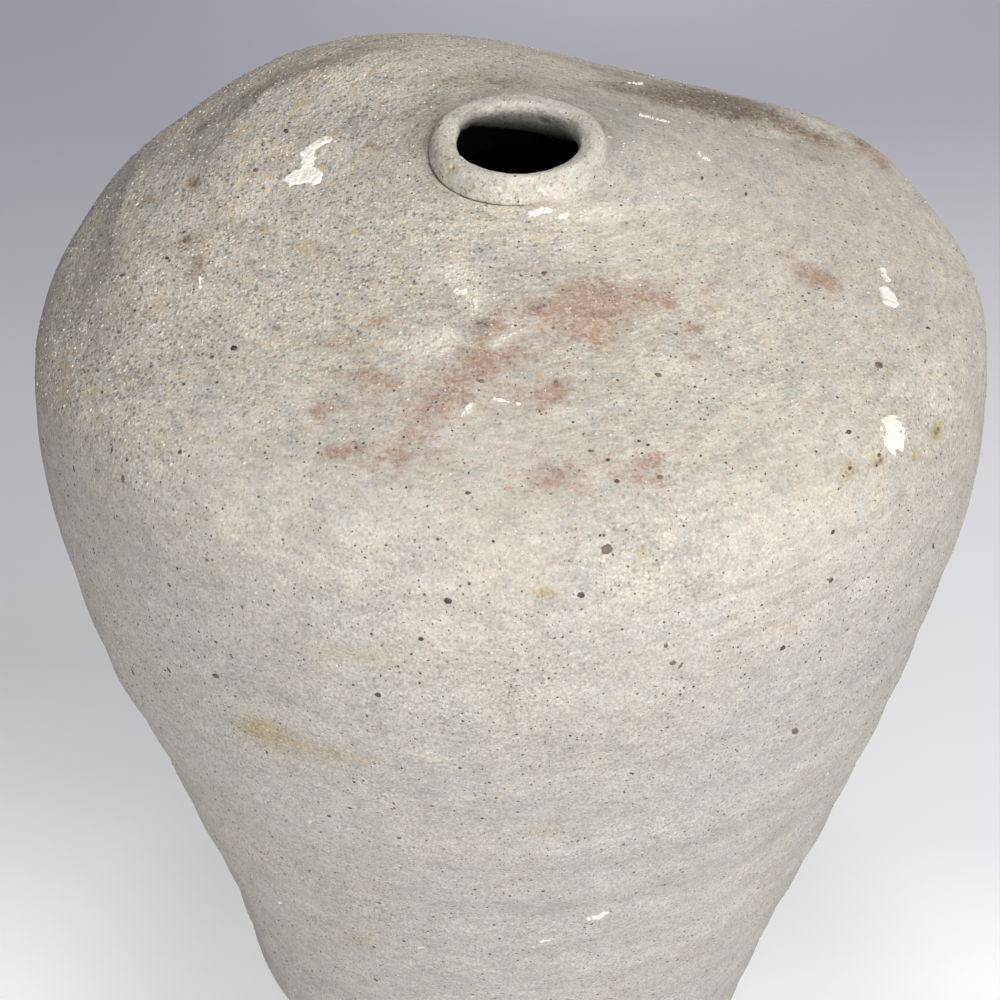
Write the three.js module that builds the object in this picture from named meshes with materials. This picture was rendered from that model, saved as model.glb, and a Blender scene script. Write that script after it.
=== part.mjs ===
// Unglazed stoneware storage jar for mercury: wide slumped shoulder, narrow foot, very small mouth.
// A mouth this small lets no hand in, so the jar is made in pieces and luted together with slip:
// a slab for the base, a thrown wall, a separately thrown dome for the shoulder, and a ring for the mouth.
// The kiln moved the shoulder: it stands high at the back left, is creased behind the mouth on the right,
// keeps a proud rim past that crease, and is a little out of round.
// Millimetres, +Z up, origin at the middle of the foot's underside, -Y is the front.
import * as THREE from "three";

// Driving dimensions
const BELLY_RADIUS = 100;
const FOOT_RADIUS = 57;
const SEAM_HEIGHT = 212;
const DOME_HEIGHT = 260;
const WALL = 9;
const DOME_WALL = 8;
const BASE_THICKNESS = 12;
const FOOT_BEVEL = 1.6;
const SLIP_GAP = 0.35;
const LUTING_BEVEL = 7;

// Mouth ring, a coil pressed flat on the dome a little to the right of the jar's axis
const MOUTH_RADIUS = 12.9;
const RING_RADIUS = 18.2;
const RING_HEIGHT = 5;
const DOME_HOLE_RADIUS = 14.6;
const MOUTH_OFFSET = 1.3;
const OFFSET_FULL_TO = 25;
const OFFSET_GONE_AT = 75;

// Throwing ridges, left by the fingers on the outside of the wall
const RIDGE_PITCH = 17;
const RIDGE_DEPTH = 0.45;

// Facets
const AROUND = 64;
const WALL_STEPS_OUT = 36;
const WALL_STEPS_IN = 12;
const DOME_STEPS_OUT = 20;
const DOME_STEPS_IN = 10;
const BASE_STEPS = 3;

// Where the kiln moved the clay: each lobe lifts or sinks the shoulder round (x, y).
const SLUMP_LOBES = [
  { what: "high back left", x: -42, y: 54, wide: 49, deep: 38, lift: 14 },
  { what: "proud rim at the back right", x: 76, y: 48, wide: 24, deep: 16, lift: 3.4 },
  { what: "crease behind the mouth", x: 52, y: 38, wide: 28, deep: 8, lift: -3 },
  { what: "step at the left", x: -87, y: -2, wide: 8, deep: 34, lift: -1.6 },
];
const SLUMP_TILT = 0.02;
const SLUMP_FROM = 110;
const SLUMP_FULL = 215;

// How far the shoulder is out of round: it leans to the front, and is slightly three-sided.
const LEAN = { turns: 1, push: 0.9, towards: -90 };
const THREE_SIDED = { turns: 3, push: 0.6, towards: 43 };
const ROUND_UP_TO = 60;
const WARPED_FROM = 200;

// The outer line from the foot's edge to the hole in the dome, as radius and height.
const OUTER_LINE = new THREE.SplineCurve([
  new THREE.Vector2(FOOT_RADIUS, 0),
  new THREE.Vector2(FOOT_RADIUS - 1, 12),
  new THREE.Vector2(FOOT_RADIUS + 0.5, 30),
  new THREE.Vector2(BELLY_RADIUS - 34.7, 55),
  new THREE.Vector2(BELLY_RADIUS - 29, 80),
  new THREE.Vector2(BELLY_RADIUS - 21.8, 105),
  new THREE.Vector2(BELLY_RADIUS - 14.9, 130),
  new THREE.Vector2(BELLY_RADIUS - 7.6, 155),
  new THREE.Vector2(BELLY_RADIUS - 2.5, 180),
  new THREE.Vector2(BELLY_RADIUS + 0.7, 200),
  new THREE.Vector2(BELLY_RADIUS, DOME_HEIGHT - 39),
  new THREE.Vector2(BELLY_RADIUS - 3, DOME_HEIGHT - 28.5),
  new THREE.Vector2(BELLY_RADIUS - 12, DOME_HEIGHT - 20.5),
  new THREE.Vector2(BELLY_RADIUS - 28, DOME_HEIGHT - 12.8),
  new THREE.Vector2(BELLY_RADIUS - 48, DOME_HEIGHT - 4.4),
  new THREE.Vector2(BELLY_RADIUS - 68, DOME_HEIGHT - 0.6),
  new THREE.Vector2(DOME_HOLE_RADIUS, DOME_HEIGHT),
]);
OUTER_LINE.arcLengthDivisions = 800;

// Share of the outer line's length where a test on its point first holds, found by halving.
function shareWhere(isPast) {
  let low = 0;
  let high = 1;
  for (let i = 0; i < 40; i++) {
    const middle = (low + high) / 2;
    if (isPast(OUTER_LINE.getPointAt(middle))) high = middle;
    else low = middle;
  }
  return high;
}

const LINE_LENGTH = OUTER_LINE.getLength();
const BASE_SHARE = shareWhere((p) => p.y > BASE_THICKNESS);
const SEAM_SHARE = shareWhere((p) => p.y > SEAM_HEIGHT);
const RING_SHARE = shareWhere((p) => p.y > SEAM_HEIGHT && p.x < RING_RADIUS);
const GAP_SHARE = SLIP_GAP / LINE_LENGTH;
const BEVEL_SHARE = LUTING_BEVEL / LINE_LENGTH;

// A point at a share of the outer line, moved square to it: inwards is positive.
function linePoint(share, inwards) {
  const p = OUTER_LINE.getPointAt(share);
  const along = OUTER_LINE.getTangentAt(share);
  return new THREE.Vector2(p.x - along.y * inwards, p.y + along.x * inwards);
}

// Height of the finger ridges above the smooth line. They fade at the foot and under the shoulder.
function ridge(share) {
  const height = OUTER_LINE.getPointAt(share).y;
  const fade =
    THREE.MathUtils.smoothstep(height, BASE_THICKNESS + 4, 40) *
    (1 - THREE.MathUtils.smoothstep(height, SEAM_HEIGHT - 60, SEAM_HEIGHT - 10));
  return RIDGE_DEPTH * fade * Math.sin((2 * Math.PI * height) / RIDGE_PITCH);
}

// Points of the outer line between two shares, each moved inwards by what depthAt gives.
function stretch(from, to, steps, depthAt) {
  const points = [];
  for (let i = 0; i <= steps; i++) {
    const share = THREE.MathUtils.lerp(from, to, i / steps);
    points.push(linePoint(share, depthAt(share)));
  }
  return points;
}

// The kiln slump: a height that is added over the shoulder and nothing near the foot.
function slump(x, y, z) {
  let lift = SLUMP_TILT * x;
  for (const lobe of SLUMP_LOBES) {
    const across = (x - lobe.x) / lobe.wide;
    const back = (y - lobe.y) / lobe.deep;
    lift += lobe.lift * Math.exp(-across * across - back * back);
  }
  return lift * THREE.MathUtils.smoothstep(z, SLUMP_FROM, SLUMP_FULL);
}

// How far a point at full radius is pushed outwards, by its direction from the axis.
function outOfRound(angle) {
  const wave = ({ turns, push, towards }) =>
    push * Math.cos(turns * (angle - THREE.MathUtils.degToRad(towards)));
  return wave(LEAN) + wave(THREE_SIDED);
}

// Where the kiln left a point that was thrown at (x, y, z).
function settled(x, y, z) {
  const radius = Math.hypot(x, y);
  const push =
    outOfRound(Math.atan2(y, x)) *
    THREE.MathUtils.smoothstep(z, ROUND_UP_TO, WARPED_FROM) *
    Math.min(radius / BELLY_RADIUS, 1);
  const scale = radius > 0 ? 1 + push / radius : 1;
  const aside =
    MOUTH_OFFSET *
    (1 - THREE.MathUtils.smoothstep(radius, OFFSET_FULL_TO, OFFSET_GONE_AT)) *
    THREE.MathUtils.smoothstep(z, SLUMP_FROM, SLUMP_FULL);
  return [x * scale + aside, y * scale, z + slump(x, y, z)];
}

// Turns a profile of radius and height round the jar's axis, then lets it settle.
function thrown(profile) {
  const geometry = new THREE.LatheGeometry(profile, AROUND).rotateX(Math.PI / 2);
  const position = geometry.getAttribute("position");
  for (let i = 0; i < position.count; i++) {
    position.setXYZ(i, ...settled(position.getX(i), position.getY(i), position.getZ(i)));
  }
  geometry.computeVertexNormals();
  return geometry;
}

function closed(points) {
  return [...points, points[0].clone()];
}

// Base: a slab with a small bevel round its foot, flat where the wall stands on it.
function baseDisc() {
  const bevelShare = FOOT_BEVEL / LINE_LENGTH;
  return thrown([
    new THREE.Vector2(0, 0),
    new THREE.Vector2(FOOT_RADIUS - FOOT_BEVEL, 0),
    ...stretch(bevelShare, BASE_SHARE, BASE_STEPS, () => 0),
    new THREE.Vector2(0, BASE_THICKNESS),
  ]);
}

// Wall: stands on the slab with a flat bottom and ends in a bevel that slopes down inwards.
function bodyWall() {
  const foot = BASE_THICKNESS + SLIP_GAP;
  const footShare = shareWhere((p) => p.y > foot);
  const outside = stretch(footShare, SEAM_SHARE, WALL_STEPS_OUT, (share) => -ridge(share));
  const inside = stretch(footShare, SEAM_SHARE - BEVEL_SHARE, WALL_STEPS_IN, () => WALL);
  inside[0].y = foot;
  outside[0].y = foot;
  return thrown(closed([...outside, ...inside.reverse()]));
}

// Shoulder: a dome that caps the wall on the same bevel and leaves a hole for the mouth.
function shoulderDome() {
  const depthAt = (share) =>
    THREE.MathUtils.lerp(WALL, DOME_WALL, (share - SEAM_SHARE) / (1 - SEAM_SHARE));
  const outside = stretch(SEAM_SHARE + GAP_SHARE, 1, DOME_STEPS_OUT, () => 0);
  const inside = stretch(SEAM_SHARE - BEVEL_SHARE + GAP_SHARE, 1, DOME_STEPS_IN, (share) =>
    share < SEAM_SHARE ? WALL : depthAt(share),
  );
  return thrown(closed([...outside, ...inside.reverse()]));
}

// Mouth: a coil pressed on the dome. Its foot follows the dome, its lip is a round edge.
function mouthRing() {
  const foot = stretch(RING_SHARE, 1, 2, () => -SLIP_GAP);
  const base = DOME_HEIGHT + SLIP_GAP;
  const top = base + RING_HEIGHT;
  const lipRadius = (RING_RADIUS - MOUTH_RADIUS) / 2;
  const crown = MOUTH_RADIUS + lipRadius * 0.85;
  const outside = new THREE.EllipseCurve(crown, base, RING_RADIUS - crown, RING_HEIGHT, 0, Math.PI / 2);
  const inside = new THREE.EllipseCurve(
    crown,
    top - RING_HEIGHT * 0.45,
    crown - MOUTH_RADIUS,
    RING_HEIGHT * 0.45,
    Math.PI / 2,
    Math.PI,
  );
  const profile = [
    ...outside.getPoints(7),
    ...inside.getPoints(5).slice(1),
    new THREE.Vector2(MOUTH_RADIUS, base),
    ...foot.reverse(),
  ];
  profile.shift();
  return thrown(closed(profile));
}

function piece(name, geometry, colour) {
  const material = new THREE.MeshStandardMaterial({ color: colour, roughness: 0.95, metalness: 0 });
  const mesh = new THREE.Mesh(geometry, material);
  mesh.name = name;
  return mesh;
}

const jar = new THREE.Group();
jar.add(piece("base_disc", baseDisc(), 0xb9b3a8));
jar.add(piece("body_wall", bodyWall(), 0xbdb8ae));
jar.add(piece("shoulder_dome", shoulderDome(), 0xc4bdaf));
jar.add(piece("mouth_ring", mouthRing(), 0xc9c6bd));

export default jar;
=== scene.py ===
import itertools
import math

import bpy
import numpy as np
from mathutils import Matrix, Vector
from mathutils.bvhtree import BVHTree


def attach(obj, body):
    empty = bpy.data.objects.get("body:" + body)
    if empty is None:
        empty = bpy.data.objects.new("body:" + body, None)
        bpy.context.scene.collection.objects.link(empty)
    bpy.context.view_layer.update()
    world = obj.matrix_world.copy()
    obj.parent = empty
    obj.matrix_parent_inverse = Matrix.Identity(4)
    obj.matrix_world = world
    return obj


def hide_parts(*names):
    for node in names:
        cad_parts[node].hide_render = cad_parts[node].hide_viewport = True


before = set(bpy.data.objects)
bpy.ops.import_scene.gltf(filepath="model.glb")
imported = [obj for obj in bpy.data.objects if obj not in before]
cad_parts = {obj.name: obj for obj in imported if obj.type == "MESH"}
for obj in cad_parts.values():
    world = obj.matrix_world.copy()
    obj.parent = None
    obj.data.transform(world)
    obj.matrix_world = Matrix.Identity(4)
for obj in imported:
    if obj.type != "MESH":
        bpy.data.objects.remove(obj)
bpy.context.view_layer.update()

MM = 0.001

# Driving dimensions, those of the CAD pieces
BELLY_RADIUS = 100
FOOT_RADIUS = 57
SEAM_HEIGHT = 212
DOME_HEIGHT = 260
WALL = 9
DOME_WALL = 8
BASE_THICKNESS = 12
FOOT_BEVEL = 1.6
LUTING_BEVEL = 7
SLIP_GAP = 0.35
RING_RADIUS = 18.2
DOME_HOLE_RADIUS = 14.6
MOUTH_OFFSET = 1.3
OFFSET_FULL_TO = 25
OFFSET_GONE_AT = 75
RIDGE_PITCH = 17
SLUMP_TILT = 0.02
SLUMP_FROM = 110
SLUMP_FULL = 215
ROUND_UP_TO = 60
WARPED_FROM = 200
LEAN_FORWARD = 0.9
THREE_SIDED = 0.6
THREE_SIDED_TOWARDS = math.radians(43)

# The dome's top edge, 1 mm higher than in the CAD, and how its wall runs out to a thin edge there
MOUTH_HEIGHT = 261
MOUTH_WALL = 0.4
MOUTH_WALL_UP_TO = 34

# Where the kiln moved the clay: (x, y) of the middle, reach in x and in y, lift
SLUMP_LOBES = {
    "high back left": (-41, 65, 51, 40, 13.4),
    "rim at the far left": (-93, 48, 12, 17, 3.6),
    "proud rim at the back right": (76, 48, 24, 16, 3.4),
    "crease behind the mouth": (52, 38, 28, 8, -3),
    "step at the left": (-87, -2, 8, 34, -1.6),
    "swell at the back": (-2, 74, 18, 25, 0.8),
    "dip at the back": (35, 80, 18, 22, -0.9),
    "end of the proud rim": (89, 40, 8, 10, 0.7),
}

# The mouth stands on a small shelf: how high it is all round, how much higher behind, and how far it reaches
SHELF_LIFT = 0.9
SHELF_BEHIND = 3.0
SHELF_REACH = 32

# The outer line from the foot's edge to the hole in the dome: radius, height
OUTER_LINE = [
    (FOOT_RADIUS, 0),
    (FOOT_RADIUS - 1, 12),
    (FOOT_RADIUS + 0.5, 30),
    (BELLY_RADIUS - 34.7, 55),
    (BELLY_RADIUS - 29, 80),
    (BELLY_RADIUS - 21.8, 105),
    (BELLY_RADIUS - 14.9, 130),
    (BELLY_RADIUS - 7.6, 155),
    (BELLY_RADIUS - 2.5, 180),
    (BELLY_RADIUS + 0.7, 200),
    (BELLY_RADIUS, DOME_HEIGHT - 39),
    (BELLY_RADIUS - 3, DOME_HEIGHT - 28.5),
    (BELLY_RADIUS - 12, DOME_HEIGHT - 20.5),
    (BELLY_RADIUS - 28, DOME_HEIGHT - 13.6),
    (BELLY_RADIUS - 48, DOME_HEIGHT - 6.8),
    (BELLY_RADIUS - 68, DOME_HEIGHT - 1.7),
    (DOME_HOLE_RADIUS, MOUTH_HEIGHT),
]

# Crests of the shoulder at the left, past which the clay falls away outwards: azimuth in degrees, radius
INNER_CREST = [
    (104, 50),
    (120, 50.5),
    (129, 53),
    (136, 57),
    (141, 62),
    (147, 64.5),
    (155, 64),
    (165, 62.5),
    (176, 62),
    (188, 63),
]
OUTER_CREST = [
    (149, 86),
    (154, 84.5),
    (160, 82.8),
    (168, 82.2),
    (176, 81.3),
    (184, 80.2),
    (193, 79.3),
    (202, 77.5),
    (213, 77),
]
INNER_CREST_LIFT = 3.2
OUTER_CREST_LIFT = 3.4
CREST_RISES_OVER = 26
CREST_FALLS_OVER = 15

# The furrow behind the mouth, its near side: x, y
FURROW = [(8, 37), (16, 35), (28, 32), (40, 31), (50, 34), (59, 38), (71, 42), (80, 45), (94, 40)]
FURROW_DEPTH = 2.0
FURROW_LIP = 0.6

# Fine lines that the tool left round the shoulder at the right: azimuth and height of each
TOP_LINE = [(276, 227.3), (300, 227.5), (322, 228)]
UPPER_LINE = [(280, 221.5), (292, 221.6), (299, 222), (306, 222.6), (312, 222.8), (318, 224.4), (325, 226)]
MIDDLE_LINE = [(276, 215.4), (286, 215), (292, 216.2), (299, 216.6), (307, 217.6), (314, 218.5)]
SEAM_LINE = [(284, 211.7), (295, 211.7), (298, 211), (303, 212.2), (311, 212.7), (315, 214.5), (322, 216)]

# Depth and half width of each
TURNING_LINES = [
    (UPPER_LINE, 0.36, 0.55),
    (MIDDLE_LINE, 0.26, 0.6),
    (SEAM_LINE, 0.30, 0.9),
    (TOP_LINE, 0.10, 1.0),
]

# Marks of throwing: how far the finger ridges and the turning marks stand, and how uneven the clay is
RIDGE_DEPTH = 0.25
TURNING_MARKS = 0.20
FINE_TURNING_MARKS = 0.07
BROAD_LUMPS = 0.42
LUMPS = 0.15

# Where the wall swells or draws in: azimuth, half its width and the width of its edge, millimetres outwards
DRAWN_IN_LEFT = (205, 22, 30, -1.1)
DRAWN_IN_RIGHT = (337, 14, 25, -1.1)
FULL_AT_LEFT = (186, 8, 14, 0.55)
RIM_OUT = (168, 2, 10, 0.6)
RIM_IN = (155, 1, 9, -0.45)

# The seam's low ridge at the right, and the open joint round the left and the front of the ring
SEAM_RIDGE = 0.12
SEAM_RIDGE_AT = 219.4
CRACK_DEPTH = 0.7

# The mouth ring's section from its foot over the lip and down the bore: radius, height over the dome
RING_SECTION = [
    (18.2, -0.9),
    (18.15, 0.1),
    (17.6, 2.0),
    (16.8, 3.6),
    (15.9, 4.5),
    (15.1, 4.8),
    (14.3, 4.65),
    (13.6, 4.1),
    (13.15, 3.2),
    (12.95, 2.0),
    (12.9, 0.8),
    (12.9, -0.4),
    (12.9, -1.6),
    (12.92, -3.0),
    (12.95, -4.4),
    (13.5, -4.8),
    (14.0, -4.2),
    (14.1, -0.9),
]
RING_CREST_RADIUS = 15.1
RING_CREST_HEIGHT = 4.8
RING_FOOT_HEIGHT = -0.9

# The nick in the lip's inner edge, at the left
NICK_DEPTH = 0.7
NICK_AZIMUTH = 203
NICK_HEIGHT = 4.0
NICK_INSIDE_OF = 14.6

# How far down the bore is lit before the painted black shade begins, by azimuth in degrees: height over the
# dome
BORE_LIT_TO = [
    (0, 2.2),
    (20, 1.15),
    (36, -0.2),
    (48, -1.1),
    (64, -1.4),
    (82, -0.9),
    (94, -0.6),
    (104, -0.15),
    (117, 0.65),
    (126, 1.4),
    (142, 2.4),
    (155, 2.9),
    (175, 2.9),
    (200, 2.9),
    (250, 2.5),
    (360, 2.2),
]

# Fineness of the skins
AROUND = 480
BASE_ROWS = 12
WALL_ROWS = 184
DOME_ROWS = 80
SEAM_ROWS = 34
SEAM_ROWS_UP_TO = 19
NEAR_RING_ROWS = 44
NEAR_RING = 24
NEAR_CUT = 0.05
INNER_ROWS = 14

# The photograph's camera, found from the jar's outline: the photograph is 1000 pixels square
PHOTO_SIZE = 1000
CAMERA_ELEVATION = math.radians(36)
CAMERA_DISTANCE = 527.86
CAMERA_TARGET = Vector((-2.58, 0, 175.83))
LENS_PIXELS = 2352
SENSOR_WIDTH = 36

# Paper floor, in metres: half its side, and how far it shows from front to back and from left to right
PAPER_HALF = 4.0
PAPER_FRONT = -0.05
PAPER_BACK = 0.70
PAPER_LEFT = -0.16
PAPER_RIGHT = 0.15

# As the camera sees it: how much of its colour is lit by the lamps, how much glows, and its blue far behind
PAPER_LIT = 0.5
PAPER_GLOW = 0.55
PAPER_BLUE = 11

# The paper's tones at the left and at the right, painted light that falls off behind and is darker at the
# left where the jar's shade lies: share of the way from front to back, brightness as seen
PAPER_TONES = [
    [(0.088, 255), (0.163, 241), (0.273, 209), (0.405, 198), (0.57, 181), (0.779, 168), (0.934, 165)],
    [(0.088, 255), (0.163, 236), (0.273, 229), (0.405, 223), (0.57, 205), (0.779, 180), (0.934, 171)],
]

# How bright the painted shadow round the jar's foot and the painted light in the front left corner are,
# against those tones
PAPER_SHADOW_BY_THE_FOOT = 0.90
PAPER_LIGHT_IN_THE_CORNER = 1.14

# Its pale sheen far behind: middle and half width, in metres
PAPER_SHEEN_AT = 0.06
PAPER_SHEEN_WIDE = 0.30

# Soft boxes: name, azimuth and elevation in degrees, watts
LAMP_SIZE = 1.1
LAMP_DISTANCE = 2.0
LAMP_AIM = Vector((0, 0, 0.2))
LAMPS = [
    ("low front", -95, 8, 23.0),
    ("right front", -35, 45, 20.0),
    ("right", -10, 25, 2.8),
    ("top", -60, 75, 15.4),
    ("behind", 95, 6, 3.5),
]


def camera_place():
    forward = Vector((0, math.cos(CAMERA_ELEVATION), -math.sin(CAMERA_ELEVATION)))
    return CAMERA_TARGET - forward * CAMERA_DISTANCE


def make_camera():
    camera = bpy.data.objects.new("camera", bpy.data.cameras.new("camera"))
    camera.data.sensor_width = SENSOR_WIDTH
    camera.data.lens = LENS_PIXELS / PHOTO_SIZE * SENSOR_WIDTH
    camera.data.clip_start = 0.02
    camera.location = camera_place() * MM
    camera.rotation_euler = (math.pi / 2 - CAMERA_ELEVATION, 0, 0)
    bpy.context.collection.objects.link(camera)
    bpy.context.scene.camera = camera


def smooth(value, low, high):
    """0 up to low and 1 from high on, soft at both ends."""
    share = np.clip((value - low) / (high - low), 0, 1)
    return share * share * (3 - 2 * share)


def lumps(points, size, seed):
    """Smooth noise from -1 to 1 whose lumps are about size millimetres across."""
    table = np.random.default_rng(seed).uniform(-1, 1, 8192)
    spot = points / size + 1000.0
    cell = np.floor(spot).astype(np.int64)
    share = spot - cell
    share = share * share * (3 - 2 * share)
    value = np.zeros(points.shape[:-1])
    for corner in itertools.product((0, 1), repeat=3):
        c = cell + corner
        key = (c[..., 0] * 73856093) ^ (c[..., 1] * 19349663) ^ (c[..., 2] * 83492791)
        weight = np.prod(np.where(corner, share, 1 - share), axis=-1)
        value += table[key % table.size] * weight
    return value


def spline(knots, steps):
    """A smooth line through the knots, as many points."""
    knots = np.array(knots, float)
    last = len(knots) - 1
    t = np.linspace(0, last, last * steps + 1)
    i = np.clip(np.floor(t).astype(int), 0, last - 1)
    w = (t - i)[:, None]
    before, here, there = knots[np.maximum(i - 1, 0)], knots[i], knots[i + 1]
    after = knots[np.minimum(i + 2, last)]
    v0, v1 = (there - before) / 2, (after - here) / 2
    cubic = (2 * here - 2 * there + v0 + v1) * w**3
    square = (-3 * here + 3 * there - 2 * v0 - v1) * w**2
    return cubic + square + v0 * w + here


def dense_line():
    """The outer line, with the length run so far at each point."""
    line = spline(OUTER_LINE, 120)
    run = np.r_[0, np.cumsum(np.linalg.norm(np.diff(line, axis=0), axis=1))]
    return line, run


LINE, RUN = dense_line()
BASE_RUN = RUN[np.argmax(LINE[:, 1] > BASE_THICKNESS)]
SEAM_RUN = RUN[np.argmax(LINE[:, 1] > SEAM_HEIGHT)]
END_RUN = RUN[-1]


def on_line(run, inwards=0.0):
    """Radius and height at a length along the outer line, moved inwards square to it."""
    run = np.asarray(run, float)
    step = 0.2
    radius, height = np.interp(run, RUN, LINE[:, 0]), np.interp(run, RUN, LINE[:, 1])
    ahead, behind = np.minimum(run + step, END_RUN), np.maximum(run - step, 0)
    along_r = np.interp(ahead, RUN, LINE[:, 0]) - np.interp(behind, RUN, LINE[:, 0])
    along_z = np.interp(ahead, RUN, LINE[:, 1]) - np.interp(behind, RUN, LINE[:, 1])
    length = np.hypot(along_r, along_z)
    return radius - along_z / length * inwards, height + along_r / length * inwards


def shelf(x, y):
    """How far the shelf under the mouth lifts the clay."""
    behind = SHELF_BEHIND * smooth(y, -19, 10)
    return (SHELF_LIFT + behind) * np.exp(-(x**2 + y**2) / SHELF_REACH**2)


def slump(x, y, z):
    """How far the kiln lifted the clay: all of it on the shoulder, none near the foot."""
    lift = SLUMP_TILT * x + shelf(x, y)
    for at_x, at_y, wide, deep, rise in SLUMP_LOBES.values():
        lift = lift + rise * np.exp(-(((x - at_x) / wide) ** 2) - ((y - at_y) / deep) ** 2)
    return lift * smooth(z, SLUMP_FROM, SLUMP_FULL)


def settled(radius, angle, height):
    """Where the kiln left the clay that was thrown at this radius, angle and height."""
    push = LEAN_FORWARD * np.cos(angle + math.pi / 2)
    push = push + THREE_SIDED * np.cos(3 * (angle - THREE_SIDED_TOWARDS))
    push = push * smooth(height, ROUND_UP_TO, WARPED_FROM) * np.minimum(radius / BELLY_RADIUS, 1)
    aside = MOUTH_OFFSET * (1 - smooth(radius, OFFSET_FULL_TO, OFFSET_GONE_AT))
    aside = aside * smooth(height, SLUMP_FROM, SLUMP_FULL)
    x, y = radius * np.cos(angle), radius * np.sin(angle)
    place_x, place_y = (radius + push) * np.cos(angle) + aside, (radius + push) * np.sin(angle)
    return np.stack([place_x, place_y, height + slump(x, y, height)], axis=-1)


ANGLES = np.linspace(0, 2 * math.pi, AROUND, endpoint=False)


def turned(radius, height):
    """A grid of settled points: one row for each radius and height, one column for each angle."""
    radius, height = np.broadcast_arrays(np.asarray(radius, float), np.asarray(height, float))
    if radius.ndim == 1:
        radius, height = radius[:, None], height[:, None]
    return settled(*np.broadcast_arrays(radius, ANGLES[None, :], height))


def grid_normals(grid):
    """The direction square to the grid at each of its points, outwards on the jar's outside."""
    up = np.gradient(grid, axis=0)
    round_ = np.roll(grid, -1, axis=1) - np.roll(grid, 1, axis=1)
    normal = np.cross(round_, up)
    return normal / np.maximum(np.linalg.norm(normal, axis=-1, keepdims=True), 1e-9)


def angle_window(angle, middle, half, edge):
    """1 within half degrees of middle, falling to 0 over edge degrees more."""
    away = np.abs((np.degrees(angle) - middle + 180) % 360 - 180)
    return 1 - smooth(away, half, half + edge)


def crest(radius, angle, knots):
    """1 along a crest of the shoulder: the clay rises softly to it and falls away at once past it."""
    azimuth = np.degrees(angle) % 360
    knots_at, knots_radius = zip(*knots)
    beyond = radius - np.interp(azimuth, knots_at, knots_radius)
    first, last = knots_at[0], knots_at[-1]
    window = smooth(azimuth, first, first + 18) * (1 - smooth(azimuth, last - 24, last))
    past = (1 - np.clip(beyond / CREST_FALLS_OVER, 0, 1)) ** 1.5
    return window * np.where(beyond < 0, line_mark(beyond, 0, CREST_RISES_OVER), past)


def turning_line(angle, height, place, knots, wide):
    """About 1 along a line of the turning, uneven, and fading at its ends."""
    azimuth = np.degrees(angle) % 360
    knots_at, knots_height = zip(*knots)
    at = np.interp(azimuth, knots_at, knots_height) + 0.25 * lumps(place, 7, 61)
    first, last = knots_at[0], knots_at[-1]
    window = smooth(azimuth, first, first + 12) * (1 - smooth(azimuth, last - 10, last))
    return window * line_mark(height, at, wide) * (0.9 + 0.5 * lumps(place, 5, 62))


def groove(place):
    """The furrow behind the mouth: how deep it is, and how high the torn lip on its near side."""
    x, y = place[..., 0], place[..., 1]
    knots_x, knots_y = zip(*FURROW)
    behind = y - np.interp(x, knots_x, knots_y) - 0.8 * lumps(place, 7, 41)
    crisp = smooth(x, 18, 30) * (1 - smooth(x, 48, 60))
    window = smooth(x, 6, 30) * (1 - smooth(x, 62, 82)) * smooth(place[..., 2], 225, 240)
    near = crisp * smooth(behind, -0.6, 1.2) + (1 - crisp) * smooth(behind, -6, 3)
    deep = window * near * (1 - smooth(behind, 3, 14))
    lip = window * crisp * np.exp(-(((behind + 1.6) / 1.5) ** 2))
    return deep, lip


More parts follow.
